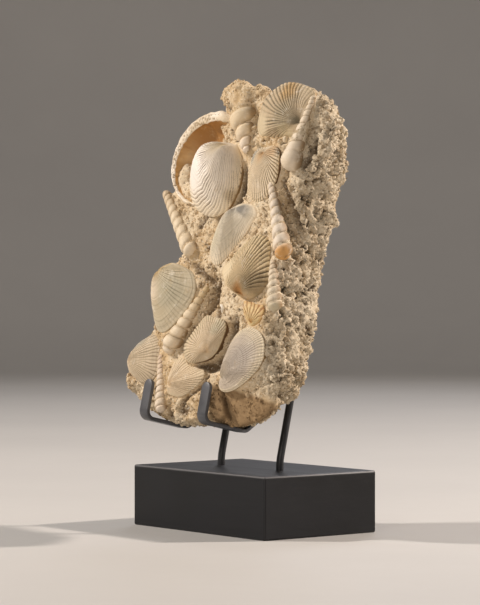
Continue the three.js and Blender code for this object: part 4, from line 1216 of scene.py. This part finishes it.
def makeBlock():
    solid = bmesh.new()
    made = bmesh.ops.create_cube(solid, size=1)
    size = np.array([block["width"], block["depth"], block["height"]]) * mm
    for vert in made["verts"]:
        vert.co = (np.array(vert.co) + (0, 0, 0.5)) * size
    bmesh.ops.bevel(solid, geom=solid.edges, offset=block["corner"] * mm, segments=4, profile=0.5,
                    affect="EDGES")
    piece = solidObject("blackBlock", solid)
    piece.data.materials.append(blackWood())
    for face in piece.data.polygons:
        face.use_smooth = face.area < 1e-4
    handOver(piece, "black_wood", "base_block")


def sweep(name, sections, material):
    # a closed tube through cross sections
    count = len(sections[0])
    points = [p for section in sections for p in section]
    at, faces = tubeFaces(len(sections), count)
    faces += [tuple(at(0, k) for k in reversed(range(count))),
              tuple(at(len(sections) - 1, k) for k in range(count))]
    piece = newMesh(name, points, faces, material)
    solid = bmesh.new()
    solid.from_mesh(piece.data)
    bmesh.ops.recalc_face_normals(solid, faces=solid.faces)
    solid.to_mesh(piece.data)
    solid.free()
    return piece


def makeRod(name, node, x, material):
    bend = toWorld([0, rod["bend"], rod["h"]])
    after, top = (toWorld([0, v, rod["h"]]) for v in (rod["bend"] + 4, rod["top"]))
    before = bend - (0, 0, 4 * mm)
    foot = np.array([0, bend[1], rod["foot"] * mm])
    line = [foot, before * 0.5 + foot * 0.5]
    for t in np.linspace(0, 1, 7):
        line.append((1 - t) ** 2 * before + 2 * t * (1 - t) * bend + t * t * after)
    line += [after * 0.5 + top * 0.5, top]
    turns = np.linspace(0, 2 * math.pi, rod["sides"], endpoint=False)[:, None]
    sections = []
    for i, p in enumerate(line):
        way = line[min(i + 1, len(line) - 1)] - line[max(i - 1, 0)]
        over = np.cross(way / np.linalg.norm(way), (1, 0, 0))
        ring = np.cos(turns) * (1, 0, 0) + np.sin(turns) * over
        sections.append(p + (x * mm, 0, 0) + rod["radius"] * mm * ring)
    handOver(sweep(name, sections, material), "black_steel", node)


def hookLine():
    # the flat bar's centre line, as points of v and h
    up = math.radians(hook["rise"])
    low = hook["under"] + hook["turn"]
    line = [(v, hook["front"]) for v in np.linspace(hook["tip"], low, 24)]
    for step in range(1, 13):
        angle = step / 12 * math.pi / 2
        line.append((low - hook["turn"] * math.sin(angle),
                     hook["front"] - hook["turn"] * (1 - math.cos(angle))))
    for step in range(8):
        angle = step / 7 * up
        line.append((low - hook["turn"] * math.cos(angle),
                     hook["back"] - hook["turn"] * math.sin(angle)))
    v, h = line[-1]
    rodFace = rod["h"] + rod["radius"] + 0.3 + hook["thickness"] / 2 * math.sqrt(0.5)
    line.append((v + (h - rodFace) * math.tan(up), rodFace))
    return np.array(line)


def makeHook(name, node, x, material):
    line = hookLine()
    gone = np.cumsum([0, *np.linalg.norm(np.diff(line, axis=0), axis=1)])
    half, thick, edge = hook["width"] / 2, hook["thickness"] / 2, hook["edge"]
    sections = []
    starts = half * (1 - np.cos(np.linspace(0.12, math.pi / 2, 10)))
    for distance in [*starts, *gone[gone > half * 1.05]]:
        v, h = (np.interp(distance, gone, line[:, k]) for k in range(2))
        ahead = np.array([np.interp(distance + 0.5, gone, line[:, k]) for k in range(2)])
        behind = np.array([np.interp(distance - 0.5, gone, line[:, k]) for k in range(2)])
        way = (ahead - behind) / np.linalg.norm(ahead - behind)
        flat = np.array([-way[1], way[0]])
        wide = math.sqrt(max(half ** 2 - max(half - distance, 0) ** 2, 0.01))
        ring = []
        for quarter, (cornerX, cornerY) in enumerate(((1, 1), (-1, 1), (-1, -1), (1, -1))):
            for k in range(4):
                angle = (quarter + k / 3) * math.pi / 2
                side = cornerX * (wide - min(edge, wide)) + min(edge, wide) * math.cos(angle)
                deep = cornerY * (thick - edge) + edge * math.sin(angle)
                ring.append((x + side, v + flat[0] * deep, h + flat[1] * deep))
        sections.append(toWorld(ring))
    handOver(sweep(name, sections, material), "black_steel", node)


rodSteel = blackSteel("blackSteel", "1a1b1d", "26272a")
# painted sheen: the hooks are the rods' black steel, painted mid grey for the light on their flat
# faces
hookSteelWithSheen = blackSteel("hookSteelPaintedSheen", "46474b", "55565a")
makeBlock()
for side, x in zip(("Left", "Right"), rod["at"]):
    makeRod("rod" + side, "rod_" + side.lower(), x, rodSteel)
    makeHook("hook" + side, "hook_" + side.lower(), x, hookSteelWithSheen)
print("stand ready")
